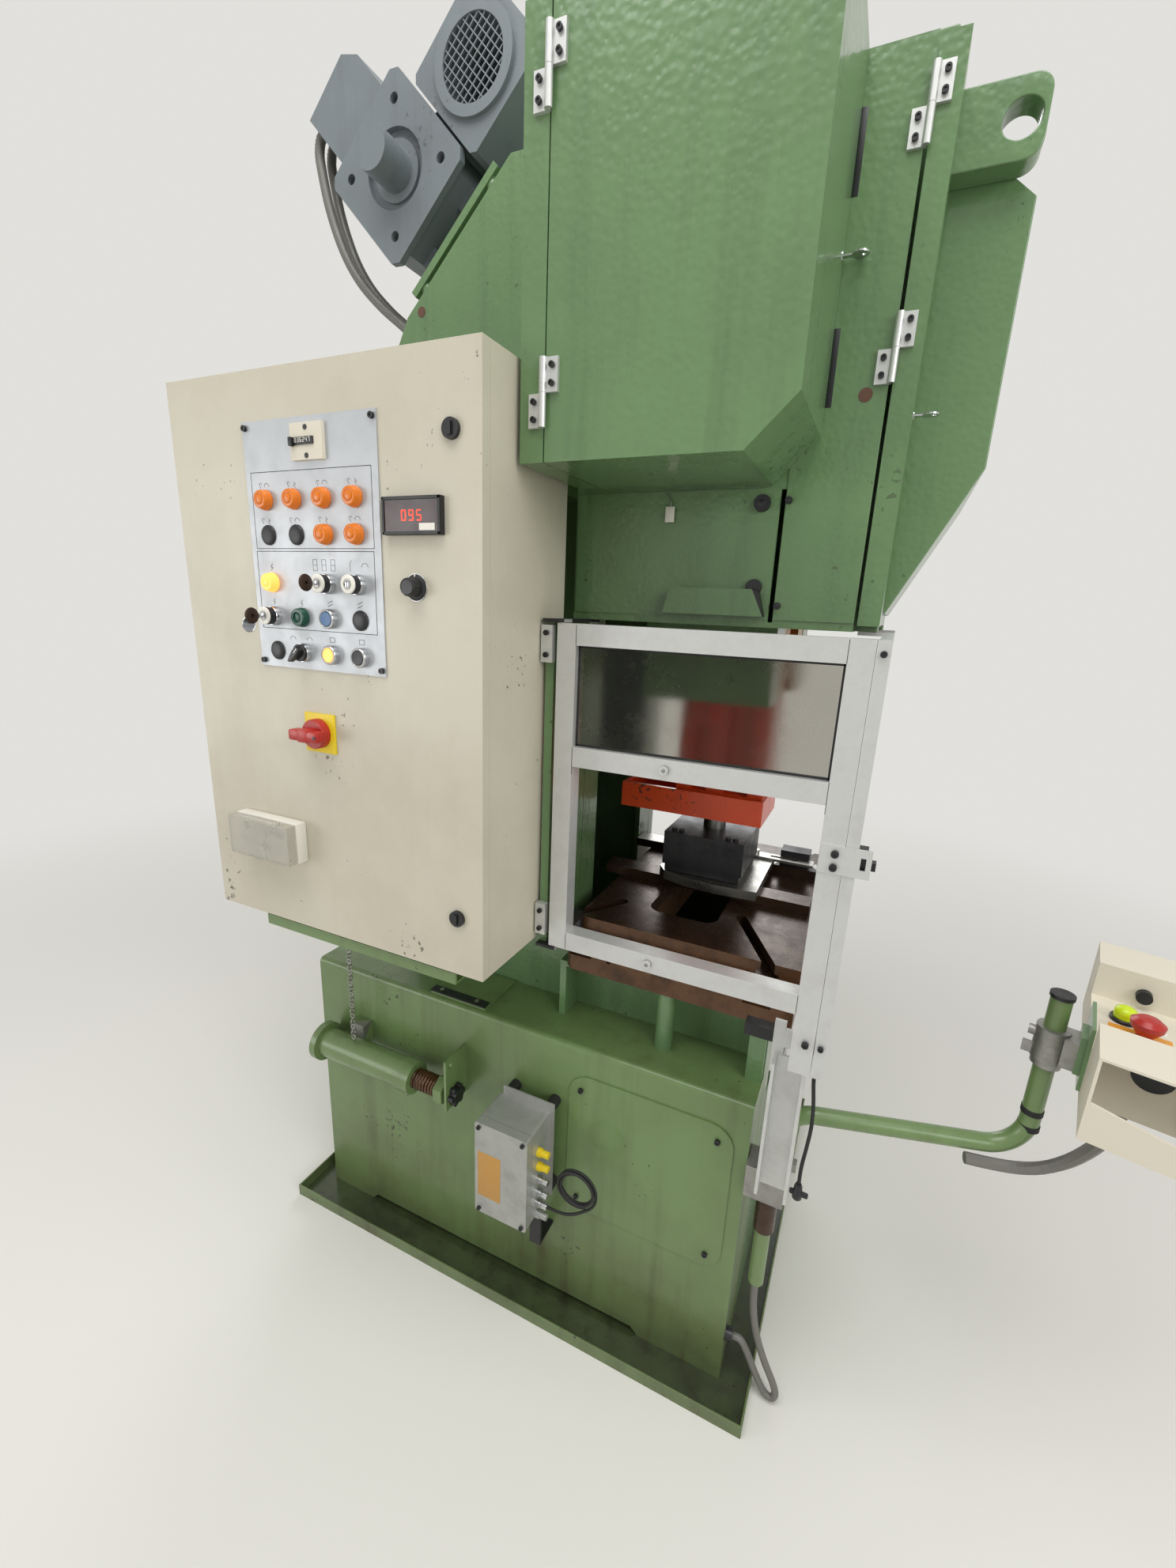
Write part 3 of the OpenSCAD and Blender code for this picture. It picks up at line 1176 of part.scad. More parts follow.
// Swing arm: clamp on the base's side, bent tube, station and its buttons
module arm_clamp() {
    x = arm_pos[0];
    y = arm_pos[1];
    color(steel) difference() {
        union() {
            block([base_x1, y - 28, 490], [x + 28 - base_x1, 56, 66]);
            rod_z([x, y, 556], 23, 22);
            block([x + 18, y - 9, 559], [22, 18, 16]);
        }
        rod_z([x, y, 487], arm_d / 2 + run_c, 95);
    }
}
bend_r = 60;
module arm_bend() {
    rotate([90, 0, 0]) rotate_extrude(angle = 90) translate([bend_r, 0]) circle(d = arm_d);
}
module arm_tube() {
    r = arm_d / 2;
    color(green) translate([arm_pos[0], arm_pos[1], 0]) rotate([0, 0, arm_angle]) {
        rod_z([0, 0, 280], r - 0.6, 206);
        rod_z([0, 0, 486], r, arm_z - bend_r - 486);
        translate([bend_r, 0, arm_z - bend_r]) rotate([0, 0, 180]) translate([0, 0, 0]) arm_bend();
        rod_x([bend_r, 0, arm_z], r, arm_reach - 2 * bend_r);
        translate([arm_reach - bend_r, 0, arm_z + bend_r]) rotate([180, 0, 0]) arm_bend();
        rod_z([arm_reach, 0, arm_z + bend_r], r, post_top - arm_z - bend_r);
    }
    color(dark) rod_z([post_pos[0], post_pos[1], post_top], r + 2, 6);
    color(oiled) translate([arm_pos[0], arm_pos[1], 0]) difference() {
        rod_z([0, 0, 410], r + 4, 76);
        rod_z([0, 0, 409], r, 78);
    }
    // Cast cross clamp and collar on the post
    color(steel) {
        difference() {
            union() {
                rod_z([post_pos[0], post_pos[1], 846], r + 8, 56);
                rod_z([post_pos[0], post_pos[1], 836], r + 6, 10);
                translate([post_pos[0], post_pos[1], 0]) rotate([0, 0, station_turn]) {
                    block([r, -22, 850], [station_gap - r - 12, 44, 48]);
                    rod_x([-r - 16, 0, 886], 8, 14);
                    block([-r - 20, -7, 848], [16, 14, 14]);
                }
            }
            rod_z([post_pos[0], post_pos[1], 830], r, 80);
        }
    }
    // Conduit along the underside of the run and into the station
    color(dark) tube_along(station_conduit, 9, 8, 3, [0, 0, 1]);
}
function at_arm(s, dy, z) = [arm_pos[0] + s * cos(arm_angle) - dy * sin(arm_angle),
    arm_pos[1] + s * sin(arm_angle) + dy * cos(arm_angle), z];
station_conduit = [at_arm(300, -14, 645), at_arm(340, -18, 645), at_arm(375, -26, 652), at_arm(402, -40, 672),
    at_arm(424, -58, 708), at_arm(440, -74, 752), at_arm(449, -84, 792), at_arm(451, -87, 829)];
module at_station() {
    translate([post_pos[0], post_pos[1], 0]) rotate([0, 0, station_turn]) translate([station_gap, station_back, 0]) children();
}
module hood_cut_2d(w) {
    polygon([[4, 60], [w - 4, 38], [w - 4, station_h - 4], [4, station_h - 4]]);
}
module control_station() {
    h = station_h;
    w = station_w;
    color(cream) at_station() difference() {
        union() {
            block([0, -station_l / 2 + hood_l, station_z0], [w, station_l - 2 * hood_l, platform_z - station_z0]);
            for (s = [0, 1]) mirror([0, s, 0]) translate([0, -station_l / 2, station_z0]) difference() {
                cube([w, hood_l, h]);
                translate([4, 4, -1]) cube([w - 8, hood_l - 8, h - 3]);
                translate([0, -1, 0]) xz(0, 6) hood_cut_2d(w);
            }
        }
        // Bores for the stems of the buttons
        rod_z([estop_at[0], estop_at[1], platform_z - 20], stem_r + run_c, 21);
        for (s = [-1, 1]) rod_y([palm_at[0], s > 0 ? palm_at[1] - 20 : -palm_at[1] - 8, palm_z], stem_r + run_c, 28);
    }
    color([0.6, 0.85, 0.1]) at_station() rod_z([42, 46, platform_z], 15, 14);
    color(green) at_station() {
        block([-5, -station_back - 48, station_top - 122], [5, 96, 104]);
        block([-12, -station_back - 24, station_top - 112], [7, 48, 64]);
    }
}
palm_r = 24;
palm_z = station_top - 36;
palm_at = [station_w / 2, station_l / 2 - hood_l];
stem_r = 11;
estop_at = [64, -5];
module estop_button() {
    color([0.75, 0.1, 0.1]) at_station() {
        rod_z([estop_at[0], estop_at[1], platform_z - 6], 11, 28);
        translate([estop_at[0], estop_at[1], platform_z + 16])
            rotate_extrude() polygon([[0, 0], [14, 0], [21, 10], [22, 18], [14, 24], [0, 26]]);
    }
}
// Palm button on its stem, in the hood on side s
module palm_button(s) {
    color(dark) at_station() scale([1, s, 1]) {
        rod_y([palm_at[0], palm_at[1] - 12, palm_z], stem_r, 34);
        rod_y([palm_at[0], palm_at[1] + 18, palm_z], palm_r, 16);
    }
}
module palm_button_near() { palm_button(-1); }
module palm_button_far() { palm_button(1); }

// Free cables: the arm's loop, and the lead with its wing plug under the guard
loop_r = 7;
loop_end = [base_x1 + 14, arm_pos[1] - 1, 118];
loop_path = concat([for (p = [[0, 0, 280], [0, 0, 255], [4, 0, 205], [16, -1, 150], [36, -2, 98], [57, -3, 56], [66, -4, 30],
    [60, -5, 16], [46, -5, 21], [31, -5, 44], [16, -4, 72], [1, -2, 100], [-13, -1, 118]])
    [arm_pos[0] + p[0], arm_pos[1] + p[1], p[2]]], [loop_end]);
module arm_conduit() { color(steel) tube_along(loop_path, loop_r, 10, 3, [0, 1, 0]); }
plug_x = side_x0 + 6;
plug_y = -guard_y + 18;
plug_path = [[plug_x, plug_y, stile_z0], [plug_x, plug_y, 802], [plug_x + 5, plug_y, 760], [plug_x + 7, plug_y, 720],
    [plug_x + 5, plug_y, 680], [plug_x + 2, plug_y, 640], [plug_x + 2, plug_y, 605]];
module switch_cable() { color(dark) tube_along(plug_path, 3, 8, 3, [0, 1, 0]); }
module wing_plug() {
    color(dark) translate([plug_x + 2, plug_y, 575]) {
        rod_z([0, 0, 0], 8, 30);
        block([-13, -3, 6], [30, 6, 10]);
    }
}

drip_tray();
base_box();
side_plate_near();
side_plate_far();
back_wall();
motor_bed();
frame_crossmembers();
table();
bolster();
lower_die_set();
head_cover();
front_hood();
belt_guard();
gibs_and_bushes();
motor();
motor_blower();
v_belts();
cabinet_body();
cabinet_shelf();
guard_fixed_frame();
guard_side_window();
junction_box();
tension_tube();
arm_clamp();
motor_conduits();
arm_conduit();
junction_cable();
cable_coil();
switch_cable();
wing_plug();
guard_door_frame();
guard_window();
head_lid();
head_lid_key();
side_door();
side_door_key();
cabinet_door();
control_panel();
panel_lamps();
panel_fittings();
timer_cover();
button_blue();
button_lit();
button_black();
selector_knob();
key_switch();
key_switch_ringed();
potentiometer_knob();
main_switch_knob();
slide();
upper_die();
conrod();
crankshaft();
flywheel();
motor_pulley();
arm_tube();
control_station();
estop_button();
palm_button_near();
palm_button_far();
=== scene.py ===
# %% [markdown]
# # Mechanical stamping press
# The press stands on a drip tray: two thick side plates carry a crank head, a table and a base. The construction
# comes packed from the CAD, in metres, and this file gives it its looks: hammer-finish paint that was oiled for
# years, aluminium profiles, a dusty smoked pane, lamps and keys on the control panel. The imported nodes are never
# moved. A node whose shape is right only gets a better material here, and a node that needs finer forms is
# replaced by a piece that stands in exactly the same place.

# %% Load the press and keep its box
import math

import bmesh
import bpy
from mathutils import Matrix, Vector


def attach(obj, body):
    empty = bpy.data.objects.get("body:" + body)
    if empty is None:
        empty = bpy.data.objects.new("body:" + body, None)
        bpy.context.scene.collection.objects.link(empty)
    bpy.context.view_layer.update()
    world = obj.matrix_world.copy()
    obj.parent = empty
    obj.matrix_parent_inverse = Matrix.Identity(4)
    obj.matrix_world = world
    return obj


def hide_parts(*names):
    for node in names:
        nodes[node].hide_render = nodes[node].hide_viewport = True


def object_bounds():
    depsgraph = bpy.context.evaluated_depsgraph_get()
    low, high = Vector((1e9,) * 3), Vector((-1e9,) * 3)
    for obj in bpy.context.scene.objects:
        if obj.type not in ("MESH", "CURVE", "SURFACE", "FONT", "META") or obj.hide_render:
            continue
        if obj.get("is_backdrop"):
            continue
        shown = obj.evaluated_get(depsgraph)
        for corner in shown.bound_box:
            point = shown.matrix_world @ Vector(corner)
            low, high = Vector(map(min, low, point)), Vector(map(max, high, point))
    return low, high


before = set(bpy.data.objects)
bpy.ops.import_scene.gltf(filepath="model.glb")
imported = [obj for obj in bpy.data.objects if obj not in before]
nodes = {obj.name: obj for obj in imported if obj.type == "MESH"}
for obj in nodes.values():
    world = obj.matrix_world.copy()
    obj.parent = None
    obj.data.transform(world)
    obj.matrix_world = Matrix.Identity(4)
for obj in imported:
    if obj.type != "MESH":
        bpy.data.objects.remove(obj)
cad_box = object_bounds()


def new_object(name, data):
    """Put a mesh, a lamp or a camera into the scene, at the origin."""
    obj = bpy.data.objects.new(name, data)
    bpy.context.scene.collection.objects.link(obj)
    return obj


# %% [markdown]
# The photograph was taken from a person's height with a very wide lens, which is why the press leans apart
# towards its top. A camera's turn is easiest to give as three unit vectors: where its right, its up and its
# back point in the room. They are the columns of its matrix.

# %% Camera
FILM_MM, FRAME_PIXELS, FOCAL_PIXELS = 36, 1983, 807.4
RIGHT = Vector((0.90480, 0.42376, 0.04210))
DOWN = Vector((0.14795, -0.22010, -0.96419))
AHEAD = Vector((-0.39932, 0.87863, -0.26184))
EYE = Vector((0.6135, -1.385, 1.5))
camera = new_object("camera", bpy.data.cameras.new("camera"))
camera.data.lens = FILM_MM * FOCAL_PIXELS / FRAME_PIXELS
camera.data.sensor_width = FILM_MM
camera.data.clip_start = 0.02
camera.matrix_world = Matrix.Translation(EYE) @ Matrix((RIGHT, -DOWN, -AHEAD)).transposed().to_4x4()
bpy.context.scene.camera = camera
print("lens", round(camera.data.lens, 2), "mm")

# %% [markdown]
# A finish is a small tree of nodes. One helper adds a node, sets its properties and fills its sockets, so the
# trees below read as lists: i3 is a node's fourth input, Base_Color is the one called Base Color, and a node that
# is given as a value means its first output. Colours are written as the sRGB hex values that one picks from a
# picture, and one function turns them to the linear values that a shader wants.

# %% Helpers for materials
MM = 1000  # millimetres in a metre; a texture's Scale counts its cells in a metre, so it is MM / size in mm
MULTIPLY, ADD, LARGER = {"operation": "MULTIPLY"}, {"operation": "ADD"}, {"operation": "MAXIMUM"}
COLOURS = {"data_type": "RGBA"}


def linear(code):
    parts = [int(code[i : i + 2], 16) / 255 for i in (1, 3, 5)]
    return tuple(c / 12.92 if c <= 0.04045 else ((c + 0.055) / 1.055) ** 2.4 for c in parts) + (1.0,)


def fill(tree, node, **sockets):
    for key, value in sockets.items():
        numbered = key[0] == "i" and key[1:].isdigit()
        socket = node.inputs[int(key[1:]) if numbered else key.replace("_", " ")]
        if isinstance(value, bpy.types.Node):
            value = value.outputs[0]
        if isinstance(value, bpy.types.NodeSocket):
            tree.links.new(value, socket)
        else:
            socket.default_value = value


def add(tree, kind, settings=(), **sockets):
    node = tree.nodes.new(kind)
    for key, value in dict(settings).items():
        setattr(node, key, value)
    fill(tree, node, **sockets)
    return node


def finish(name, colour, roughness=0.5, metallic=0.0, **sockets):
    """A named material with its tree, its Principled node and the object's own coordinates."""
    material = bpy.data.materials.new(name)
    material.use_nodes = True
    material.diffuse_color = linear(colour)
    tree = material.node_tree
    shader = tree.nodes["Principled BSDF"]
    fill(tree, shader, Base_Color=linear(colour), Roughness=roughness, Metallic=metallic, **sockets)
    place = add(tree, "ShaderNodeTexCoord").outputs["Object"]
    return material, tree, shader, place


print("half grey #808080 is", round(linear("#808080")[0], 3), "in linear light")

# %% [markdown]
# Hammer-finish enamel is the green of such machines: a stoving paint whose silicone makes it pull into small
# dents, 4 to 9 mm across. A cell texture with smooth borders gives those dents as a bump. Years of oil mist leave
# a gloss, faint vertical runs where it crept down, and a darker, dirtier band near the floor. The cabinet and the
# motor have the same kind of paint with finer, flatter dents, so one function makes them all from their sizes.

# %% Painted steel
OIL_SPECK = "#2B2119"


def enamel(name, colour, stain, dent_mm, dent_depth, roughness, spots, floor_dirt=0.35, coat=0.25, run_level=0.35):
    material, tree, shader, place = finish(name, colour, roughness, Coat_Weight=coat, Coat_Roughness=0.12)
    cells = add(tree, "ShaderNodeTexVoronoi", {"feature": "SMOOTH_F1"}, Vector=place, Scale=MM / dent_mm,
                Smoothness=0.8)
    wobble = add(tree, "ShaderNodeTexNoise", Vector=place, Scale=14.0, Detail=3.0)
    evened = add(tree, "ShaderNodeMapRange", Value=wobble, i1=0.3, i2=0.7, i3=0.42, i4=0.62)
    dents = add(tree, "ShaderNodeMath", MULTIPLY, i0=cells, i1=evened)
    bump = add(tree, "ShaderNodeBump", Strength=dent_depth, Distance=0.0012, Height=dents)
    # Oil runs: noise pulled long in Z
    pulled = add(tree, "ShaderNodeMapping", Vector=place, Scale=(26.0, 26.0, 1.6))
    runs = add(tree, "ShaderNodeTexNoise", Vector=pulled, Scale=1.0, Detail=5.0, Roughness=0.6)
    runs_on = add(tree, "ShaderNodeMapRange", Value=runs, i1=0.5, i2=0.78, i4=run_level)
    clouds = add(tree, "ShaderNodeTexNoise", Vector=place, Scale=3.5, Detail=6.0, Roughness=0.65)
    cloud_on = add(tree, "ShaderNodeMapRange", Value=clouds, i1=0.42, i2=0.75, i4=0.3)
    height = add(tree, "ShaderNodeSeparateXYZ", i0=place).outputs["Z"]
    low = add(tree, "ShaderNodeMapRange", Value=height, i1=0.32, i2=0.02, i4=floor_dirt)
    dirty_low = add(tree, "ShaderNodeMath", MULTIPLY, i0=low, i1=clouds)
    dirt = add(tree, "ShaderNodeMath", ADD, i0=runs_on, i1=cloud_on)
    dirt = add(tree, "ShaderNodeMath", {**ADD, "use_clamp": True}, i0=dirt, i1=dirty_low)
    # Specks of oil and rust, where fine grains fall on wide patches
    grains = add(tree, "ShaderNodeTexNoise", Vector=place, Scale=95.0, Detail=2.0)
    patch = add(tree, "ShaderNodeTexNoise", Vector=place, Scale=5.0, Detail=2.0)
    grain_sum = add(tree, "ShaderNodeMath", MULTIPLY, i0=grains, i1=patch)
    speck = add(tree, "ShaderNodeMapRange", Value=grain_sum, i1=0.42, i2=0.46, i4=spots)
    tint = add(tree, "ShaderNodeMix", COLOURS, i0=dirt, i6=linear(colour), i7=linear(stain)).outputs[2]
    specks = add(tree, "ShaderNodeMix", COLOURS, i0=speck, i6=tint, i7=linear(OIL_SPECK)).outputs[2]
    gloss = add(tree, "ShaderNodeMapRange", Value=dirt, i1=0.0, i2=0.7, i3=roughness, i4=roughness + 0.16)
    fill(tree, shader, Base_Color=specks, Roughness=gloss, Normal=bump)
    return material


GREEN = enamel("hammered_green_enamel", "#668559", "#41563A", 9.0, 0.9, 0.22, spots=0.5)
GREEN_LOW = enamel("worn_green_enamel", "#6C8653", "#47462A", 4.0, 0.22, 0.33, spots=0.8, floor_dirt=0.9)
CREAM = enamel("textured_cream_enamel", "#C6C0AE", "#9A8F76", 2.2, 0.16, 0.42, spots=0.75, floor_dirt=0.2,
               coat=0.1, run_level=0.06)
MOTOR = enamel("grey_motor_enamel", "#71797D", "#4C5053", 3.0, 0.2, 0.45, spots=0.4, coat=0.05)
ORANGE = enamel("orange_slide_enamel", "#DA4814", "#7A2A12", 3.0, 0.2, 0.35, spots=0.8)
OIL_FILM = enamel("oily_tray_enamel", "#4C5A3A", "#1C170D", 9.0, 0.05, 0.12, spots=1.0, floor_dirt=0.9)
print("enamels", [m.name for m in (GREEN, GREEN_LOW, CREAM, MOTOR, ORANGE, OIL_FILM)])

# %% [markdown]
# Bare metals share one idea: the colour is that of clean metal, the roughness says how it was cut, and a noise
# that is pulled along one direction gives the lines that a tool or a brush leaves. Extruded, anodised aluminium
# has faint lines along its length and a soft, milky gloss. Ground steel is darker and sharper. The cast table is
# hardly metal to the eye: oil has soaked into its rust and turned it brown and wet.

# %% Bare metals
def metal(name, colour, stain, roughness, lines=(1.0, 1.0, 1.0), line_mm=1.0, depth=0.1, metallic=1.0, wear=0.35):
    material, tree, shader, place = finish(name, colour, roughness, metallic)
    pulled = add(tree, "ShaderNodeMapping", Vector=place, Scale=lines)
    grain = add(tree, "ShaderNodeTexNoise", Vector=pulled, Scale=MM / line_mm, Detail=3.0)
    bump = add(tree, "ShaderNodeBump", Strength=depth, Distance=0.0004, Height=grain)
    clouds = add(tree, "ShaderNodeTexNoise", Vector=place, Scale=22.0, Detail=8.0, Roughness=0.7)
    worn = add(tree, "ShaderNodeMapRange", Value=clouds, i1=0.45, i2=0.72, i4=wear)
    tint = add(tree, "ShaderNodeMix", COLOURS, i0=worn, i6=linear(colour), i7=linear(stain)).outputs[2]
    matt = add(tree, "ShaderNodeMapRange", Value=clouds, i1=0.3, i2=0.7, i3=roughness - 0.07, i4=roughness + 0.1)
    fill(tree, shader, Base_Color=tint, Roughness=matt, Normal=bump)
    return material


ALUMINIUM = metal("anodised_aluminium", "#CDCECC", "#9C988E", 0.36, (1.0, 1.0, 0.08), 1.6, 0.12, 0.55, 0.25)
STEEL = metal("ground_steel", "#A8A7A2", "#5E5A50", 0.3, (1.0, 0.1, 1.0), 1.2, 0.15)
CHROME = metal("chromed_steel", "#C9CACB", "#8E8F90", 0.12, depth=0.02, wear=0.1)
OILED = metal("oil_soaked_cast_iron", "#463325", "#21160E", 0.26, line_mm=3.0, depth=0.35, metallic=0.45, wear=0.9)
DARK = metal("blackened_iron", "#3A3A3C", "#1E1D1C", 0.38, line_mm=1.5, depth=0.2, metallic=0.7, wear=0.6)
CAST = metal("cast_aluminium_box", "#ABACA8", "#7B7A72", 0.42, line_mm=2.5, depth=0.15, metallic=0.5, wear=0.4)
TABLE_EDGE = metal("oil_browned_cast_iron", "#5E3F26", "#2C1C0E", 0.3, line_mm=3.0, depth=0.3, metallic=0.3, wear=0.9)
BRONZE = metal("bearing_bronze", "#A9834A", "#6B4D27", 0.32, metallic=0.95)
ZINC = metal("zinc_cast", "#9C9B96", "#4E4A42", 0.42, line_mm=2.0, depth=0.25, metallic=0.8, wear=0.5)
PANEL = metal("brushed_panel_plate", "#B2B5B8", "#989CA0", 0.42, (0.06, 1.0, 1.0), 1.0, 0.08, 0.4, 0.2)
print("metals", [m.name for m in (ALUMINIUM, STEEL, CHROME, OILED, DARK, CAST, TABLE_EDGE, BRONZE, ZINC, PANEL)])

# %% [markdown]
# The small parts are plastics and rubber. Moulded ABS has a fine grain and a soft gloss. The lamp lenses are
# ribbed polycarbonate that lets light in, so they get some transmission, and the lit ones also glow; the unlit
# amber and lime lenses get a faint painted glow.
# The guard's pane is smoked acrylic that is 4 mm thick: a dark tint, high transmission and a film of dust that
# raises its roughness in patches.

# %% Plastics, rubber and the pane
def plastic(name, colour, roughness=0.35, grain_mm=0.8, depth=0.06, **sockets):
    material, tree, shader, place = finish(name, colour, roughness, **sockets)
    grain = add(tree, "ShaderNodeTexNoise", Vector=place, Scale=MM / grain_mm, Detail=2.0)
    bump = add(tree, "ShaderNodeBump", Strength=depth, Distance=0.0003, Height=grain)
    clouds = add(tree, "ShaderNodeTexNoise", Vector=place, Scale=30.0, Detail=5.0)
    matt = add(tree, "ShaderNodeMapRange", Value=clouds, i1=0.3, i2=0.7, i3=roughness - 0.05, i4=roughness + 0.12)
    fill(tree, shader, Roughness=matt, Normal=bump)
    return material


def glowing(colour, strength):
    return {"Emission_Color": linear(colour), "Emission_Strength": strength}


LENS_GLASS = {"Transmission_Weight": 0.15}
RUBBER = plastic("black_rubber", "#161616", 0.62, 1.5, 0.2)
BLACK = plastic("black_abs", "#17181A", 0.38)
WHITE = plastic("white_abs", "#E4E1D6", 0.36)
HOOD = plastic("cream_polyester", "#D9D2C0", 0.5, 2.0, 0.25)
BLUE = plastic("blue_abs", "#2C5C8C", 0.3)
DEEP_GREEN = plastic("deep_green_lens", "#0E4A38", 0.22, **LENS_GLASS)
# Painted glow: a faint emission on the unlit amber lenses
AMBER = plastic("amber_lens", "#D9781A", 0.2, **LENS_GLASS, **glowing("#E8780F", 0.1))
LIT = plastic("lit_yellow_lens", "#E8A04A", 0.24, **glowing("#FFA548", 1.35))
RED = plastic("red_abs", "#A8231C", 0.3)
YELLOW = plastic("yellow_abs", "#E3C81E", 0.4)
GOLD_PLATE = plastic("orange_yellow_plate", "#E0962A", 0.42, 1.5, 0.1)
# Painted glow: a faint emission on the unlit lime lens of the station
LIME = plastic("lime_lens", "#C9DD22", 0.22, **LENS_GLASS, **glowing("#B6D010", 0.12))
TIMER_BODY = plastic("grey_white_abs", "#D9D6CC", 0.4)
# Painted shade: a flat black for the sheet that closes the view through the table's drop hole
PAINTED_SHADE_BLACK = plastic("painted_shade_sheet", "#15120E", 0.22, 3.0, 0.15)
FROSTED = plastic("frosted_clear_cover", "#E6E3D8", 0.3, Transmission_Weight=0.7)
RUST = plastic("brown_primer_plug", "#5A3A2C", 0.55, 2.0, 0.2)
CONDUIT = plastic("grey_conduit_pvc", "#6C6A64", 0.4, 1.2, 0.12)
DIGIT = plastic("red_digit", "#FF3B22", 0.4, **glowing("#FF2A14", 3.0))
SCREEN = plastic("dark_red_screen", "#2A0506", 0.15)
LABEL = plastic("orange_brown_label", "#B98A45", 0.5)
INK = plastic("dark_print", "#2C2C2E", 0.6)
KEY_BOW = plastic("dark_bronze_key", "#3B2A20", 0.35, metallic=0.5)

PANE, pane_tree, pane_shader, place = finish("smoked_acrylic_pane", "#B4B1A8", 0.2, Transmission_Weight=1.0, IOR=1.25)
dust = add(pane_tree, "ShaderNodeTexNoise", Vector=place, Scale=9.0, Detail=8.0, Roughness=0.7)
film = add(pane_tree, "ShaderNodeMapRange", Value=dust, i1=0.35, i2=0.7, i3=0.14, i4=0.36)
fill(pane_tree, pane_shader, Roughness=film)
print("plastics and pane ready")

# %% [markdown]
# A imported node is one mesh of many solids, so its finishes are given by place: every face starts with the
# node's own finish, and the faces inside a small box get another one. Nothing in the mesh moves. The photograph
# shows thin, rounded, paint-filled edges everywhere, so the plates also get a narrow live bevel: Weld joins the
# loose triangles, Bevel rounds what is sharper than 35 degrees, and Weighted Normal keeps the flats flat.

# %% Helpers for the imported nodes
ANY = 9.0
ALL_ROUND = (-ANY, ANY)
BEVEL_ABOVE = math.radians(35)
JOINED_WITHIN = 0.00002


def within(x=ALL_ROUND, y=ALL_ROUND, z=ALL_ROUND):
    """A test that is true for a point inside the box; the limits are in metres."""
    return lambda c: x[0] <= c[0] <= x[1] and y[0] <= c[1] <= y[1] and z[0] <= c[2] <= z[1]


def from_axis(c, axis):
    return math.hypot(c[0] - axis[0], c[1] - axis[1])


def soften(name, width_mm):
    piece = nodes[name]
    piece.modifiers.new("weld", "WELD").merge_threshold = JOINED_WITHIN
    bevel = piece.modifiers.new("edges", "BEVEL")
    bevel.width = width_mm / MM
    bevel.segments = 2
    bevel.limit_method = "ANGLE"
    bevel.angle_limit = BEVEL_ABOVE
    piece.data.polygons.foreach_set("use_smooth", [True] * len(piece.data.polygons))
    piece.modifiers.new("flats", "WEIGHTED_NORMAL").keep_sharp = False


def paint(name, edge_mm, base, *zones):
    """Round a node's edges and give it its base finish, and another one to the faces that a zone picks.

    A zone is a finish with a test of the face's centre, or with a set of face numbers.
    """
    mesh = nodes[name].data
    mesh.materials.clear()
    for material in (base, *(zone[0] for zone in zones)):
        mesh.materials.append(material)
    for face in mesh.polygons:
        hits = (face.index in test if isinstance(test, set) else test(face.center) for _, test in zones)
        face.material_index = next((i for i, hit in enumerate(hits, 1) if hit), 0)
    if edge_mm:
        soften(name, edge_mm)


def solids_within(name, low, high):
    """The faces of those solids of a node whose whole box lies between low and high; solids share no corners."""
    mesh = nodes[name].data
    corners = [tuple(round(c, 5) for c in v.co) for v in mesh.vertices]
    parent = {c: c for c in corners}

    def top(c):
        while parent[c] != c:
            parent[c] = c = parent[parent[c]]
        return c

    for face in mesh.polygons:
        first, *rest = (corners[i] for i in face.vertices)
        for other in rest:
            parent[top(first)] = top(other)
    solids = {}
    for face in mesh.polygons:
        solids.setdefault(top(corners[face.vertices[0]]), []).append(face)
    chosen = set()
    for faces in solids.values():
        points = [corners[i] for face in faces for i in face.vertices]
        if all(low[k] <= min(p[k] for p in points) and max(p[k] for p in points) <= high[k] for k in range(3)):
            chosen.update(face.index for face in faces)
    return chosen


print("painting helpers ready")

# %% [markdown]
# The frame, the head and the tools come first. Hinges, plugs and the painted shade of dark openings are small boxes
# in a painted node.
# Each row gives the width of the rounded edge in millimetres, with 0 for a form that is round or hidden.

# %% Frame, head and tools
LID_HINGES = (ALUMINIUM, within((0.1295, 0.1725), (-0.571, -0.5593)))
DOOR_HINGES = (ALUMINIUM, within((0.538, 0.581), (-0.357, -0.3453)))
DIE_PILLAR, PILLAR_RADIUS = (0.306, 0.0), 0.0256
for finish_used, edges in (
    (GREEN, {"side_plate_near": 2.0, "side_plate_far": 2.0, "back_wall": 0, "motor_bed": 1.5, "front_hood": 2.0,
             "belt_guard": 1.0, "frame_crossmembers": 1.0}),
    (STEEL, {"conrod": 0, "flywheel": 0, "motor_pulley": 0, "crankshaft": 0}),
    (MOTOR, {"motor": 1.5, "motor_blower": 0.4}),
    (ORANGE, {"slide": 2.0}),
    (BRONZE, {"gibs_and_bushes": 0}),
    (RUBBER, {"v_belts": 0}),
    (CHROME, {"head_lid_key": 0, "side_door_key": 0}),
):
    for name, edge in edges.items():
        paint(name, edge, finish_used)
paint("drip_tray", 1.2, GREEN_LOW, (OIL_FILM, within((-0.5705, 0.5705), (-0.4705, 0.4705), (0.003, 0.0045))))
paint("base_box", 1.5, GREEN_LOW,
      # Painted shade: black on the base's inner faces below the table's drop hole
      (BLACK, within((0.2, 0.41), (-0.2, 0.2), (0.3, 0.8))),
      (DARK, within(x=(0.5145, ANY))),
      (BLACK, within(x=(-0.21, -0.05), z=(0.6692, 0.674))),
      (ZINC, within(x=(-0.21, -0.05), z=(0.6741, 0.68))),
      (BLACK, within(y=(-ANY, -0.4002), z=(0.3, 0.58))))
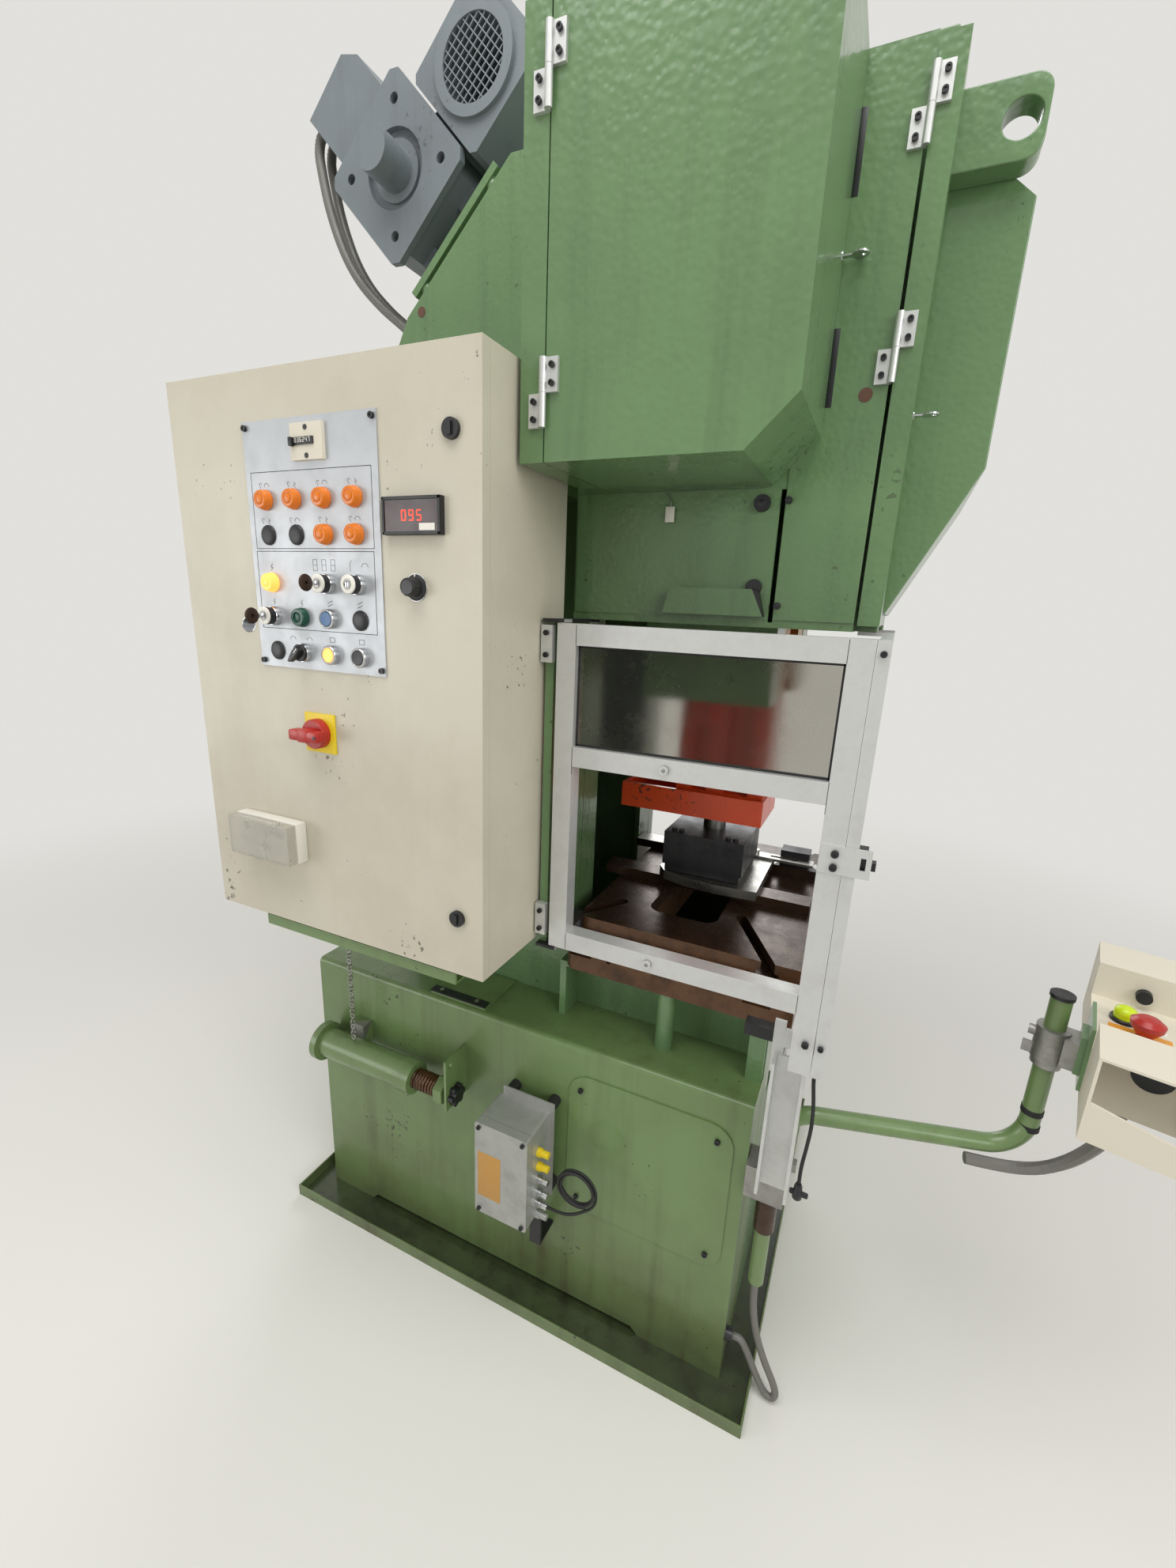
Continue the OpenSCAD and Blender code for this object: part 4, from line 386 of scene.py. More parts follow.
paint("head_cover", 0.8, GREEN, LID_HINGES, DOOR_HINGES, (BLACK, within((0.39, 0.46), (-ANY, -0.3471), (1.5, 1.69))))
paint("head_lid", 1.0, GREEN, LID_HINGES)
paint("side_door", 0.8, GREEN, DOOR_HINGES)
paint("table", 1.5, TABLE_EDGE, (OILED, within(z=(0.8715, ANY))))
paint("bolster", 1.5, OILED, (TABLE_EDGE, within(y=(-ANY, -0.3145))), (TABLE_EDGE, within(x=(0.5555, ANY))))
paint("lower_die_set", 1.0, STEEL,
      (OILED, within(z=(0.904, 0.926), y=(-ANY, 0.13))),
      (DARK, within((0.44, 0.52), (0.1255, 0.171), (0.924, 0.97))))
paint("upper_die", 1.0, DARK, (STEEL, lambda c: c[2] > 1.0575 and from_axis(c, DIE_PILLAR) < PILLAR_RADIUS))
print("frame, head and tools painted")

# %% [markdown]
# The cabinet, the guard and the arm follow. The station at the arm's end is turned by 13 degrees, so a place on it
# is told in its own directions: u along it and v across it, in millimetres. The arm's node holds a painted tube,
# an oiled spindle and a grey conduit that lie close together, so those are picked as whole solids.

# %% Cabinet, guard and arm
POST = Vector((0.93164, -0.28012, 0.0))
STATION_TURN = Matrix.Rotation(math.radians(-13), 3, "Z")
STATION_ORIGIN = POST + STATION_TURN @ Vector((0.045, 0.056, 0.0))
STATION_LAMP, LAMP_RADIUS = (42, 46), 15.5


def station_uv(c):
    return (STATION_TURN.transposed() @ (Vector((c[0], c[1], 0.0)) - STATION_ORIGIN)) * MM


for name in ("cabinet_body", "cabinet_door"):
    paint(name, 1.0, CREAM, (ZINC, within(x=(-ANY, -0.4945))), (BLACK, within(x=(0.045, 0.075), y=(-ANY, -0.6372))))
paint("cabinet_shelf", 0, GREEN_LOW, (RUBBER, within(y=(-ANY, -0.4), z=(0.9175, 0.9265))))
paint("timer_cover", 1.5, FROSTED)
paint("guard_door_frame", 0.6, ALUMINIUM,
      (BLACK, within((0.57, 0.6), (-ANY, -0.4801))),
      (BLACK, within((0.57, 0.6), (-ANY, -0.4771), (0.87, 0.882))))
paint("guard_fixed_frame", 0.5, ALUMINIUM,
      (GREEN, within((0.1115, 0.1275), (-0.467, -0.452), (0.9215, 1.481))),
      (DARK, within((0.11, 0.15), (-0.48, -0.3), (0.86, 0.9215))),
      (DARK, within((0.11, 0.15), (-0.48, -0.3), (1.4805, 1.5))),
      (RED, within((0.5335, 0.5445), (-0.431, -0.404), (0.8275, 0.8505))),
      (BLACK, within((0.483, 0.541), (-0.427, -0.404), (0.8275, 0.8505))),
      (BLACK, within((0.6138, 0.64), (-0.471, -0.448), (1.16, 1.2))))
for name in ("guard_window", "guard_side_window"):
    paint(name, 0, PANE)
paint("arm_clamp", 1.5, ZINC)
paint("arm_tube", 0, GREEN_LOW,
      (DARK, lambda c: c[2] > 0.9552),
      (ZINC, lambda c: 0.835 < c[2] < 0.903 and c[0] > 0.87 and from_axis(c, POST) > 0.0156),
      (OILED, solids_within("arm_tube", (0.5, -0.5, 0.40), (0.6, -0.3, 0.49))),
      (CONDUIT, solids_within("arm_tube", (0.84, -0.4, 0.6), (1.1, -0.2, 0.835))))
paint("control_station", 1.5, HOOD,
      (GREEN, lambda c: station_uv(c).x < -0.1),
      (LIME, lambda c: c[2] > 0.9005 and from_axis(station_uv(c), STATION_LAMP) < LAMP_RADIUS))
paint("estop_button", 0, RED)
for name in ("palm_button_near", "palm_button_far"):
    paint(name, 0, BLACK)
print("painted", sum(1 for o in nodes.values() if o.data.materials), "of", len(nodes))

# %% [markdown]
# New pieces are made of a few plain forms. A turned part, such as a lens, a knob or a gland, is a profile spun
# round an axis. A machined or moulded part is a block with rounded edges. Their sizes are in millimetres, as on a
# drawing, and in the press's own frame, so several forms can be joined into one piece that sits at the origin.

# %% Helpers for shapes
AXES = {
    "-y": Matrix(((1, 0, 0), (0, 0, -1), (0, 1, 0))),
    "x": Matrix(((0, 0, 1), (0, 1, 0), (-1, 0, 0))),
    "z": Matrix.Identity(3),
}
SHARP_ABOVE = math.radians(40)


def circle(count):
    return [math.tau * i / count for i in range(count)]


def turned(form, place, axis, profile, material=0, sides=32):
    """Spin (radius, height) points round an axis through place; the heights run along the axis."""
    rings = []
    for radius, height in profile:
        offsets = [(radius * math.cos(a), radius * math.sin(a), height) for a in circle(sides if radius else 1)]
        rings.append([form.verts.new(Vector(place) / MM + AXES[axis] @ (Vector(o) / MM)) for o in offsets])
    for low, high in zip(rings, rings[1:]):
        for i in range(sides):
            j = (i + 1) % sides
            corners = [low[i % len(low)], low[j % len(low)], high[j % len(high)], high[i % len(high)]]
            unique = list(dict.fromkeys(corners))
            if len(unique) > 2:
                form.faces.new(unique).material_index = material
    for ring in (rings[0][::-1], rings[-1]):
        if len(ring) > 2:
            form.faces.new(ring).material_index = material


def block(form, low, high, bevel=0.0, material=0):
    """A block between two corners, with edges rounded by bevel."""
    before = set(form.verts)
    made = bmesh.ops.create_cube(form, size=1.0)["verts"]
    low, high = Vector(low) / MM, Vector(high) / MM
    for v in made:
        v.co = (low + high) / 2 + v.co * (high - low)
    if bevel:
        edges = list(dict.fromkeys(e for v in made for e in v.link_edges))
        bmesh.ops.bevel(form, geom=edges, offset=bevel / MM, segments=2, affect="EDGES", profile=0.5)
    for face in {f for v in form.verts if v not in before for f in v.link_faces}:
        face.material_index = material


def shown(name, mesh, body, smooth=True, replaced=()):
    """Show a mesh as a piece that rides on a body, and hide the nodes that it replaces."""
    obj = new_object(name, mesh)
    if smooth:
        mesh.set_sharp_from_angle(angle=SHARP_ABOVE)
    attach(obj, body)
    if replaced:
        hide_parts(*replaced)
    return obj


def piece(name, form, body, materials, slot, smooth=True, replaced=()):
    """Turn a form into a mesh with its materials, and show it."""
    bmesh.ops.recalc_face_normals(form, faces=form.faces)
    mesh = bpy.data.meshes.new(name)
    form.to_mesh(mesh)
    form.free()
    for material in materials:
        mesh.materials.append(material)
    return shown(name, mesh, body, smooth, replaced)


print("shape helpers ready")

# %% [markdown]
# Socket head screws are everywhere, always the same shape at another size. They are a good use of Geometry
# Nodes: the tree makes one head with its hexagonal socket by a boolean, and sets it on every point of a mesh,
# turned to the direction that the point carries. Realize Instances makes it real geometry before it is used.

# %% Socket screws by Geometry Nodes
FRONT = (0, -1, 0)
SOCKET_SHARE, SOCKET_DEPTH = 0.52, 1.2


def new_group(name, sizes):
    """An empty tree that takes points, some sizes and a finish; returned with its inputs."""
    tree = bpy.data.node_groups.new(name, "GeometryNodeTree")
    for label, kind in (("Geometry", "Geometry"), *((size, "Float") for size in sizes), ("Finish", "Material")):
        tree.interface.new_socket(label, in_out="INPUT", socket_type="NodeSocket" + kind)
    tree.interface.new_socket("Geometry", in_out="OUTPUT", socket_type="NodeSocketGeometry")
    return tree, add(tree, "NodeGroupInput").outputs


def close_group(tree, given, shape, **turn):
    """Set the shape on every point, make it real and give it its finish."""
    placed = add(tree, "GeometryNodeInstanceOnPoints", Points=given["Geometry"], Instance=shape, **turn)
    real = add(tree, "GeometryNodeRealizeInstances", Geometry=placed)
    done = add(tree, "GeometryNodeSetMaterial", Geometry=real, Material=given["Finish"])
    add(tree, "NodeGroupOutput", i0=done)
    return tree


def screw_tree():
    tree, given = new_group("socket_screws", ("Head radius", "Head height", "Socket radius", "Socket depth"))
    head_height = given["Head height"]
    head = add(tree, "GeometryNodeMeshCylinder", Vertices=20, Radius=given["Head radius"], Depth=head_height)
    socket = add(tree, "GeometryNodeMeshCylinder", Vertices=6, Radius=given["Socket radius"], Depth=head_height)
    half = add(tree, "ShaderNodeMath", MULTIPLY, i0=head_height, i1=0.5)
    raised = add(tree, "ShaderNodeCombineXYZ", Z=half)
    above = add(tree, "ShaderNodeMath", {"operation": "SUBTRACT"}, i0=head_height, i1=given["Socket depth"])
    cut_place = add(tree, "ShaderNodeCombineXYZ", Z=above)
    lifted = add(tree, "GeometryNodeTransform", Geometry=socket, Translation=cut_place)
    cut = add(tree, "GeometryNodeMeshBoolean", {"operation": "DIFFERENCE", "solver": "EXACT"}, i0=head, i1=lifted)
    seated = add(tree, "GeometryNodeTransform", Geometry=cut, Translation=raised)
    facing = add(tree, "GeometryNodeInputNamedAttribute", {"data_type": "FLOAT_VECTOR"}, Name="facing")
    turned_to = add(tree, "FunctionNodeAlignRotationToVector", {"axis": "Z"}, Vector=facing)
    return close_group(tree, given, seated, Rotation=turned_to)


SCREWS = screw_tree()


def grown(name, tree, mesh, values, body):
    """Run a tree on a mesh, keep its result as a plain mesh, and show it."""
    source = new_object(name + "_points", mesh)
    modifier = source.modifiers.new("grow", "NODES")
    modifier.node_group = tree
    for item in tree.interface.items_tree:
        if item.item_type == "SOCKET" and item.in_out == "INPUT" and item.name in values:
            modifier[item.identifier] = values[item.name]
    bpy.context.view_layer.update()
    result = bpy.data.meshes.new_from_object(source.evaluated_get(bpy.context.evaluated_depsgraph_get()))
    result.name = name
    bpy.data.objects.remove(source)
    return shown(name, result, body)


def screws(name, body, size, places):
    """Black screw heads of one size, as (radius, height), on the given points; all face the front."""
    mesh = bpy.data.meshes.new(name)
    mesh.from_pydata([Vector(p) / MM for p in places], [], [])
    for point in mesh.attributes.new("facing", "FLOAT_VECTOR", "POINT").data:
        point.vector = FRONT
    radius, height = size
    sizes = {"Head radius": radius, "Head height": height, "Socket radius": radius * SOCKET_SHARE,
             "Socket depth": SOCKET_DEPTH}
    values = {label: value / MM for label, value in sizes.items()} | {"Finish": BLACK}
    return grown(name, SCREWS, mesh, values, body)


print("screw tree with", len(SCREWS.nodes), "nodes")

# %% [markdown]
# Free cables come before the other pieces, because their room is checked. The arm's flexible conduit leaves the
# lower end of the arm's tube, hangs in a loop down to the tray and goes into a gland in the base. The junction
# box has one short lead that was wound up and left, and the guard's safety switch has a thin lead with a
# wing plug. Each is a smooth curve through the same points as the CAD tube, in metres.
# wing plug. Each is a smooth curve through the same points as the CAD tube, in metres.

# %% Cables
SIDEWAYS = Vector((0, 1, 0))


def smooth(points, steps):
    """A smooth curve that goes through all the points, the same as the CAD's."""
    path = []
    for i in range(len(points) - 1):
        a, b = Vector(points[max(i - 1, 0)]), Vector(points[i])
        c, d = Vector(points[i + 1]), Vector(points[min(i + 2, len(points) - 1)])
        for j in range(steps):
            t = j / steps
            path.append(b + 0.5 * t * (c - a + t * (2 * a - 5 * b + 4 * c - d + t * (3 * (b - c) + d - a))))
    return path + [Vector(points[-1])]


def length_of(path):
    return sum((b - a).length for a, b in zip(path, path[1:]))


def tube_form(path, radii, sides=12, form=None):
    """A round tube along a path, added to a form if there is one; radii has one number for each point."""
    form = form or bmesh.new()
    rings = []
    for i, p in enumerate(path):
        ahead = (path[min(i + 1, len(path) - 1)] - path[max(i - 1, 0)]).normalized()
        across = ahead.cross(SIDEWAYS).normalized()
        over = ahead.cross(across)
        offsets = [radii[i] * (math.cos(a) * across + math.sin(a) * over) for a in circle(sides)]
        rings.append([form.verts.new(p + offset) for offset in offsets])
    for low, high in zip(rings, rings[1:]):
        for k in range(sides):
            form.faces.new((low[k], low[(k + 1) % sides], high[(k + 1) % sides], high[k]))
    form.faces.new(rings[0][::-1])
    form.faces.new(rings[-1])
    return form


def plain(path, radius, sides):
    return tube_form(path, [radius] * len(path), sides)


def ribbed(path, radius, pitch, depth, sides=12, form=None):
    """Sample a path finely and let its radius rise and fall, as a corrugated conduit's does."""
    total = length_of(path)
    steps = max(2, int(total / pitch)) * 2
    fine, radii, walked, i = [], [], 0.0, 0
    for n in range(steps + 1):
        goal = total * n / steps
        while i < len(path) - 2 and walked + (path[i + 1] - path[i]).length < goal:
            walked += (path[i + 1] - path[i]).length
            i += 1
        part = (path[i + 1] - path[i]).length
        fine.append(path[i].lerp(path[i + 1], min(1.0, (goal - walked) / part)))
        radii.append(radius if n % 2 else radius - depth)
    return tube_form(fine, radii, sides, form)


loop_points = [
    (0.556, -0.385, 0.280), (0.556, -0.385, 0.255), (0.560, -0.385, 0.205), (0.572, -0.386, 0.150),
    (0.592, -0.387, 0.098), (0.613, -0.388, 0.056), (0.622, -0.389, 0.030), (0.616, -0.390, 0.016),
    (0.602, -0.390, 0.021), (0.587, -0.390, 0.044), (0.572, -0.389, 0.072), (0.557, -0.387, 0.100),
    (0.543, -0.386, 0.118), (0.528, -0.386, 0.118),
]
loop = smooth(loop_points, 6)
conduit = piece("arm_loop_conduit", ribbed(loop, radius=0.007, pitch=0.004, depth=0.0005), "frame", [CONDUIT],
                "grey_conduit", replaced=["arm_conduit"])
print("loop", round(length_of(loop), 3))

# %% [markdown]
# The junction box's lead goes on into a small bundle: the real cable is wound three times and tied. The bundle
# is one long curve, so the lead and its turns are one piece with one length. The turns lie side by side, so the
# wire goes once round a small circle, its roll, while it goes three times round the bundle.

# %% Wound lead
LEAD_RADIUS, LEAD_SIDES = 0.003, 10
TURNS, TURN_STEPS = 3, 30
COIL, COIL_RADIUS, ROLL_RADIUS = Vector((0.212, -0.472, 0.408)), 0.037, 0.0036
JOIN_STEPS, JOIN_OUT = 8, 0.0065
lead_points = [(0.149, -0.472, 0.331), (0.166, -0.472, 0.331), (0.186, -0.472, 0.3335), (0.204, -0.472, 0.3415),
               (0.220, -0.472, 0.353), (0.2341, -0.472, 0.3664)]
lead = smooth(lead_points, 8)
start = math.atan2(lead_points[-1][2] - COIL.z, lead_points[-1][0] - COIL.x)
wound = lead[:-1]
for n in range(TURNS * TURN_STEPS + 1):
    a = start + math.tau * n / TURN_STEPS
    roll = math.tau * n / (TURNS * TURN_STEPS)
    away = COIL_RADIUS + ROLL_RADIUS * math.cos(roll) + max(0.0, 1 - n / JOIN_STEPS) ** 2 * JOIN_OUT
    wound.append(COIL + Vector((away * math.cos(a), ROLL_RADIUS * math.sin(roll), away * math.sin(a))))
bundle = piece("wound_lead", plain(wound, LEAD_RADIUS, LEAD_SIDES), "frame", [RUBBER], "black_rubber",
               replaced=["junction_cable", "cable_coil"])
print("bundle", round(length_of(wound), 3))

# %% [markdown]
# The guard switch's lead hangs straight down from the long stile and ends in a plug with two wings. The motor's
# two conduits are not free: the machine holds them all the way, so they only need their ribs.

# %% Switch lead, plug and motor conduits
switch_points = [(0.603, -0.459, 0.822), (0.603, -0.459, 0.802), (0.608, -0.459, 0.760), (0.610, -0.459, 0.720),
                 (0.608, -0.459, 0.680), (0.605, -0.459, 0.640), (0.605, -0.459, 0.605)]
hang = smooth(switch_points, 6)
form = bmesh.new()
turned(form, (605, -459, 575), "z",
       [(0, 0), (6.2, 0), (7.8, 2), (7.8, 16), (6.6, 18), (6.6, 24), (4.5, 30), (0, 30)], sides=24)
block(form, (592, -462, 581), (622, -456, 591), 2.5)
plug = piece("wing_plug_body", form, "frame", [BLACK], "black_rubber", replaced=["wing_plug"])
hanging = piece("switch_lead", plain(hang, LEAD_RADIUS, LEAD_SIDES), "frame", [RUBBER], "black_rubber",
                replaced=["switch_cable"])
print("switch lead", round(length_of(hang), 3))

route = [(-0.5993, 2.419), (-0.6065, 2.4123), (-0.6115, 2.398), (-0.611, 2.372), (-0.592, 2.290), (-0.560, 2.212),
         (-0.519, 2.151), (-0.464, 2.098), (-0.403, 2.052), (-0.3635, 2.0195), (-0.3373, 2.0053)]
form = bmesh.new()
for y in (-0.169, -0.137):
    ribbed(smooth([(x, y, z) for x, z in route], 6), radius=0.01, pitch=0.006, depth=0.0008, sides=14, form=form)
piece("motor_conduit_pair", form, "frame", [CONDUIT], "grey_conduit", replaced=["motor_conduits"])

# %% [markdown]
# The control panel is a brushed, anodised plate on the cabinet's door. Thin printed frames group its fittings, and
# small line signs stand over them. A printed line is a very flat block, so it stays sharp at any distance.

# %% Control panel: plate and print
PLATE_Y = -639
COLUMN = (-287, -227.5, -168, -108.5)
ROW = (1417, 1471, 1522, 1592, 1642)
ARC = [(math.cos(a), math.sin(a)) for a in (math.pi * i / 8 for i in range(9))]


def panel_corner(c):
    return c[1] < -0.6391 and (c[0] < -0.312 or -0.08 < c[0] < -0.06)


paint("control_panel", 0.4, PANEL,
      (BLACK, panel_corner),
      (BLACK, within(x=(-0.0535, ANY))),
      (BLACK, within((-0.212, -0.174), (-ANY, -0.6451))),
      (HOOD, within((-0.222, -0.158), (-ANY, -0.6391), (1.69, 1.745))))


def stroke(form, a, b, width, y=PLATE_Y, rise=0.15, material=0):
    """A printed line from a to b, which are (x, z), on a face at y."""
    a, b = Vector(a), Vector(b)
    side = Vector((a.y - b.y, b.x - a.x)).normalized() * width / 2
    near = [form.verts.new(Vector((p.x, y - rise, p.y)) / MM) for p in (a + side, b + side, b - side, a - side)]
    far = [form.verts.new((v.co.x, y / MM, v.co.z)) for v in near]
    for ring in (near, far[::-1], *((near[i], far[i], far[(i + 1) % 4], near[(i + 1) % 4]) for i in range(4))):
        form.faces.new(ring).material_index = material


def strokes(form, width, *points):
    for a, b in zip(points, points[1:]):
        stroke(form, a, b, width)


def outline(form, width, x0, z0, x1, z1):
    strokes(form, width, (x0, z0), (x1, z0), (x1, z1), (x0, z1), (x0, z0))


form = bmesh.new()
outline(form, 0.9, -316, 1572.5, -76.5, 1681.5)
outline(form, 0.9, -317, 1452, -77.5, 1568.5)
for i, x in enumerate(COLUMN):
    for top_row, z in enumerate((1611, 1661)):
        strokes(form, 0.6, *((x - 10 + 2.5 * c, z + 3 + 2.5 * s) for c, s in ARC), (x - 10, z), (x - 10, z - 2))
        if (i + top_row) % 2:
            strokes(form, 0.6, *((x + 3 + 5 * c, z + 5 * s) for c, s in ARC))
        else:
            strokes(form, 0.6, (x + 1, z + 5), (x + 5, z + 2), (x + 1, z + 1), (x + 4, z - 3))
for x in (-194, -176, -158):
    outline(form, 0.5, x - 4, 1541, x + 4, 1557)
    stroke(form, (x - 4, 1549), (x + 4, 1549), 0.5)
for x, z in ((-287, 1545), (-287, 1493), (-227.5, 1492)):
    strokes(form, 0.7, (x + 2, z + 5), (x - 2, z), (x + 2, z), (x - 1, z - 5))
for x in (-168, -108.5):
    outline(form, 0.6, x - 5, 1436, x + 5, 1443)
    for z in (1492, 1497):
        stroke(form, (x - 5, z - 3), (x + 5, z + 1), 0.8)
for x in (-252, -216):
    strokes(form, 0.6, *((x + 6 * c, 1436 + 5 * s) for c, s in ARC))
strokes(form, 0.6, (-124, 1541), (-124, 1552), (-121, 1556))
strokes(form, 0.6, (-103, 1547), (-99, 1552), (-93, 1552), (-89, 1547))
piece("panel_print", form, "cabinet_door", [INK], "black_plastic", smooth=False)
corners = [(x, PLATE_Y, z) for x in (-320, -71) for z in (1400, 1743)]
screws("panel_corner_screws", "cabinet_door", (4.4, 4.4), corners)
print("panel print and its screws")

# %% [markdown]
# All the fittings share a 29 mm size: amber lenses with a stepped rim, domed black plugs, buttons that sit in
# chromed collars, and locks with a white face. Each is a profile that is spun round its own axis, so its steps
# catch the light like the moulded ones. A lamp's rim steps in twice and a round lens stands in its middle. The
# buttons are slightly hollow caps that move in fixed collars.

# %% Lamps, plugs and locks
LENS = [(14.4, 0), (14.8, 0.8), (14.8, 3), (13.9, 3.6), (13.7, 9.2), (12.9, 11.2), (12.3, 12.8), (11.2, 13.4),
        (8.2, 13.4), (7.8, 12.5), (7.2, 12.5), (6.9, 13.6), (5.2, 14.5), (2.6, 14.9), (0, 15.0)]
LOW_LENS = [(r, min(h, 11.6) if r > 8 else h - 3) for r, h in LENS]
PLUG = [(14.8, 0), (14.8, 1.6), (14.2, 2.6), (11, 3.9), (6.5, 4.7), (0, 5.0)]
COLLAR = [(14.7, 0), (14.7, 8.8), (14.3, 10.4), (13.3, 11.4), (12.0, 11.7), (11.3, 11.2), (11.2, 0.4), (0, 0.3)]
CAP = [(0, 4.0), (10.7, 4.0), (10.9, 5), (10.9, 10.6), (10.2, 11.6), (8.6, 11.5), (4.5, 11.0), (0, 10.9)]
LOCK_COLLAR = [(14.7, 0), (14.7, 9), (13.9, 10.2), (0, 10.2)]
LOCK_BODY = [(13.3, 10.2), (13.3, 20.6), (12.9, 21), (0, 21)]
LOCK_FACE = [(13.4, 21), (13.4, 22.6), (12.6, 23.4), (8.2, 23.6), (7.6, 22.6), (0, 22.6)]
LOCK_CORE = [(6.4, 22.6), (6.4, 24.0), (5.8, 24.4), (0, 24.4)]
SELECTOR_COLLAR = [(14.7, 0), (14.7, 7.6), (14.0, 8.8), (0, 8.8)]
TIMER_DIAL = [(5.0, 20.0), (5.0, 22.0), (4.2, 22.6), (0, 22.6)]


def spun(form, x, z, profile, material=0, y=PLATE_Y, sides=36):
    turned(form, (x, y, z), "-y", profile, material, sides)


form = bmesh.new()
for column, row in ((0, 4), (1, 4), (2, 4), (3, 4), (2, 3), (3, 3)):
    spun(form, COLUMN[column], ROW[row], LENS)
spun(form, COLUMN[0], ROW[2], LENS, 1)
spun(form, COLUMN[1], ROW[1], LOW_LENS, 2)
piece("panel_lenses", form, "cabinet_door", [AMBER, LIT, DEEP_GREEN], "amber_lens", replaced=["panel_lamps"])

form = bmesh.new()
for column, row in ((0, 3), (1, 3), (3, 1), (0, 0)):
    spun(form, COLUMN[column], ROW[row], PLUG)
for column, row in ((2, 1), (2, 0), (3, 0)):
    spun(form, COLUMN[column], ROW[row], COLLAR, 1)
for column, row in ((2, 2), (3, 2), (0, 1)):
    for profile, kind in ((LOCK_COLLAR, 1), (LOCK_BODY, 0), (LOCK_FACE, 2), (LOCK_CORE, 1)):
        spun(form, COLUMN[column], ROW[row], profile, kind)
# The keyhole of the lock without a key
x, z = COLUMN[3], ROW[2]
block(form, (x - 0.9, PLATE_Y - 24.6, z - 4), (x + 0.9, PLATE_Y - 24.3, z + 4))
spun(form, COLUMN[1], ROW[0], SELECTOR_COLLAR, 1)
# Base of the timer box with its dials, and the main switch's yellow plate
block(form, (-404, -659, 1056), (-257, -637, 1129), 3, 3)
block(form, (-238, -641, 1258), (-174, -637, 1322), 0.8, 4)
for x in (-386, -368, -350, -332, -314, -296, -278):
    spun(form, x, 1079, TIMER_DIAL)
for x in (-374, -348, -322, -296):
    block(form, (x - 9, -660.5, 1098), (x + 9, -658.5, 1117), 0.8)
piece("panel_plugs_and_locks", form, "cabinet_door", [BLACK, CHROME, WHITE, TIMER_BODY, YELLOW], "black_plastic",
      replaced=["panel_fittings"])
for name, x, z, cap, slot in (
    ("button_blue", COLUMN[2], ROW[1], BLUE, "blue_plastic"),
    ("button_lit", COLUMN[2], ROW[0], LIT, "yellow_lens"),
    ("button_black", COLUMN[3], ROW[0], BLACK, "black_plastic"),
):
    form = bmesh.new()
    spun(form, x, z, CAP)
    piece(name + "_cap", form, name, [cap], slot, replaced=[name])
print("lamps, plugs, locks and buttons")

# %% [markdown]
# The keys stand in their locks. A key is a flat blade with a thick bow round it, and one carries a ring.

# %% Keys
LOCK_MOUTH_Y = PLATE_Y - 23.5
BOW = [(2.4, -1.5), (10.9, -1.5), (11.9, -0.8), (12.2, 0), (11.9, 0.8), (10.9, 1.5), (2.4, 1.5), (2.4, -1.5)]
KEY_RING = [(11 + 0.9 * math.cos(a), 0.9 * math.sin(a)) for a in (*circle(10), math.tau)]
ONE_POINT = 0.00001


def closed_ring(form, place, profile, material):
    """A ring whose profile ends where it starts, so its two ends are joined."""
    turned(form, place, "x", profile, material)
    bmesh.ops.remove_doubles(form, verts=form.verts, dist=ONE_POINT)


def key_form(x, z):
    form = bmesh.new()
    block(form, (x - 1.1, LOCK_MOUTH_Y - 14, z - 3.6), (x + 1.1, LOCK_MOUTH_Y + 4, z + 3.6), 0.3)
    closed_ring(form, (x, LOCK_MOUTH_Y - 20, z), BOW, 1)
    return form


piece("panel_key", key_form(COLUMN[2], ROW[2]), "key_switch", [CHROME, KEY_BOW], "machined_steel",
      replaced=["key_switch"])
form = key_form(COLUMN[0], ROW[1])
closed_ring(form, (COLUMN[0], PLATE_Y - 50, ROW[1] - 13.5), KEY_RING, 0)
piece("panel_key_with_ring", form, "key_switch_ringed", [CHROME, KEY_BOW], "machined_steel",
      replaced=["key_switch_ringed"])
print("keys")

# %% [markdown]
# The selector has a pointed handle with a white line. It is one ring of corners, drawn twice, with the front one a
# little smaller. The small knob beside the panel is spun, and sixteen thin ribs give it its grip; its skirt carries
# a mark.

# %% Selector and speed knob
DOOR_Y = -637
HANDLE = [(-5, 12), (5, 12), (6, 0), (4.2, -10), (1.2, -20), (-1.2, -20), (-4.2, -10), (-6, 0)]
HANDLE_BACK_Y, HANDLE_FRONT_Y = PLATE_Y - 13, PLATE_Y - 23.5
LEAN = Matrix.Rotation(math.radians(45), 3, "Y")
form = bmesh.new()
x, z = COLUMN[1], ROW[0]
spun(form, x, z, [(13.4, 8.9), (13.4, 12.6), (12.6, 13.6), (0, 13.6)])
front, back = (
    [form.verts.new((Vector((x, y, z)) + LEAN @ Vector((u * wide, 0, w * tall))) / MM) for u, w in HANDLE]
    for y, wide, tall in ((HANDLE_FRONT_Y, 0.78, 0.94), (HANDLE_BACK_Y, 1, 1))
)
form.faces.new(front[::-1])
form.faces.new(back)
for i in range(8):
    form.faces.new((front[i], back[i], back[(i + 1) % 8], front[(i + 1) % 8]))
stroke(form, (x, z), (x + 7, z + 7), 1.2, y=HANDLE_FRONT_Y, rise=0.2, material=1)
piece("selector_handle", form, "selector_knob", [BLACK, WHITE], "black_plastic", replaced=["selector_knob"])

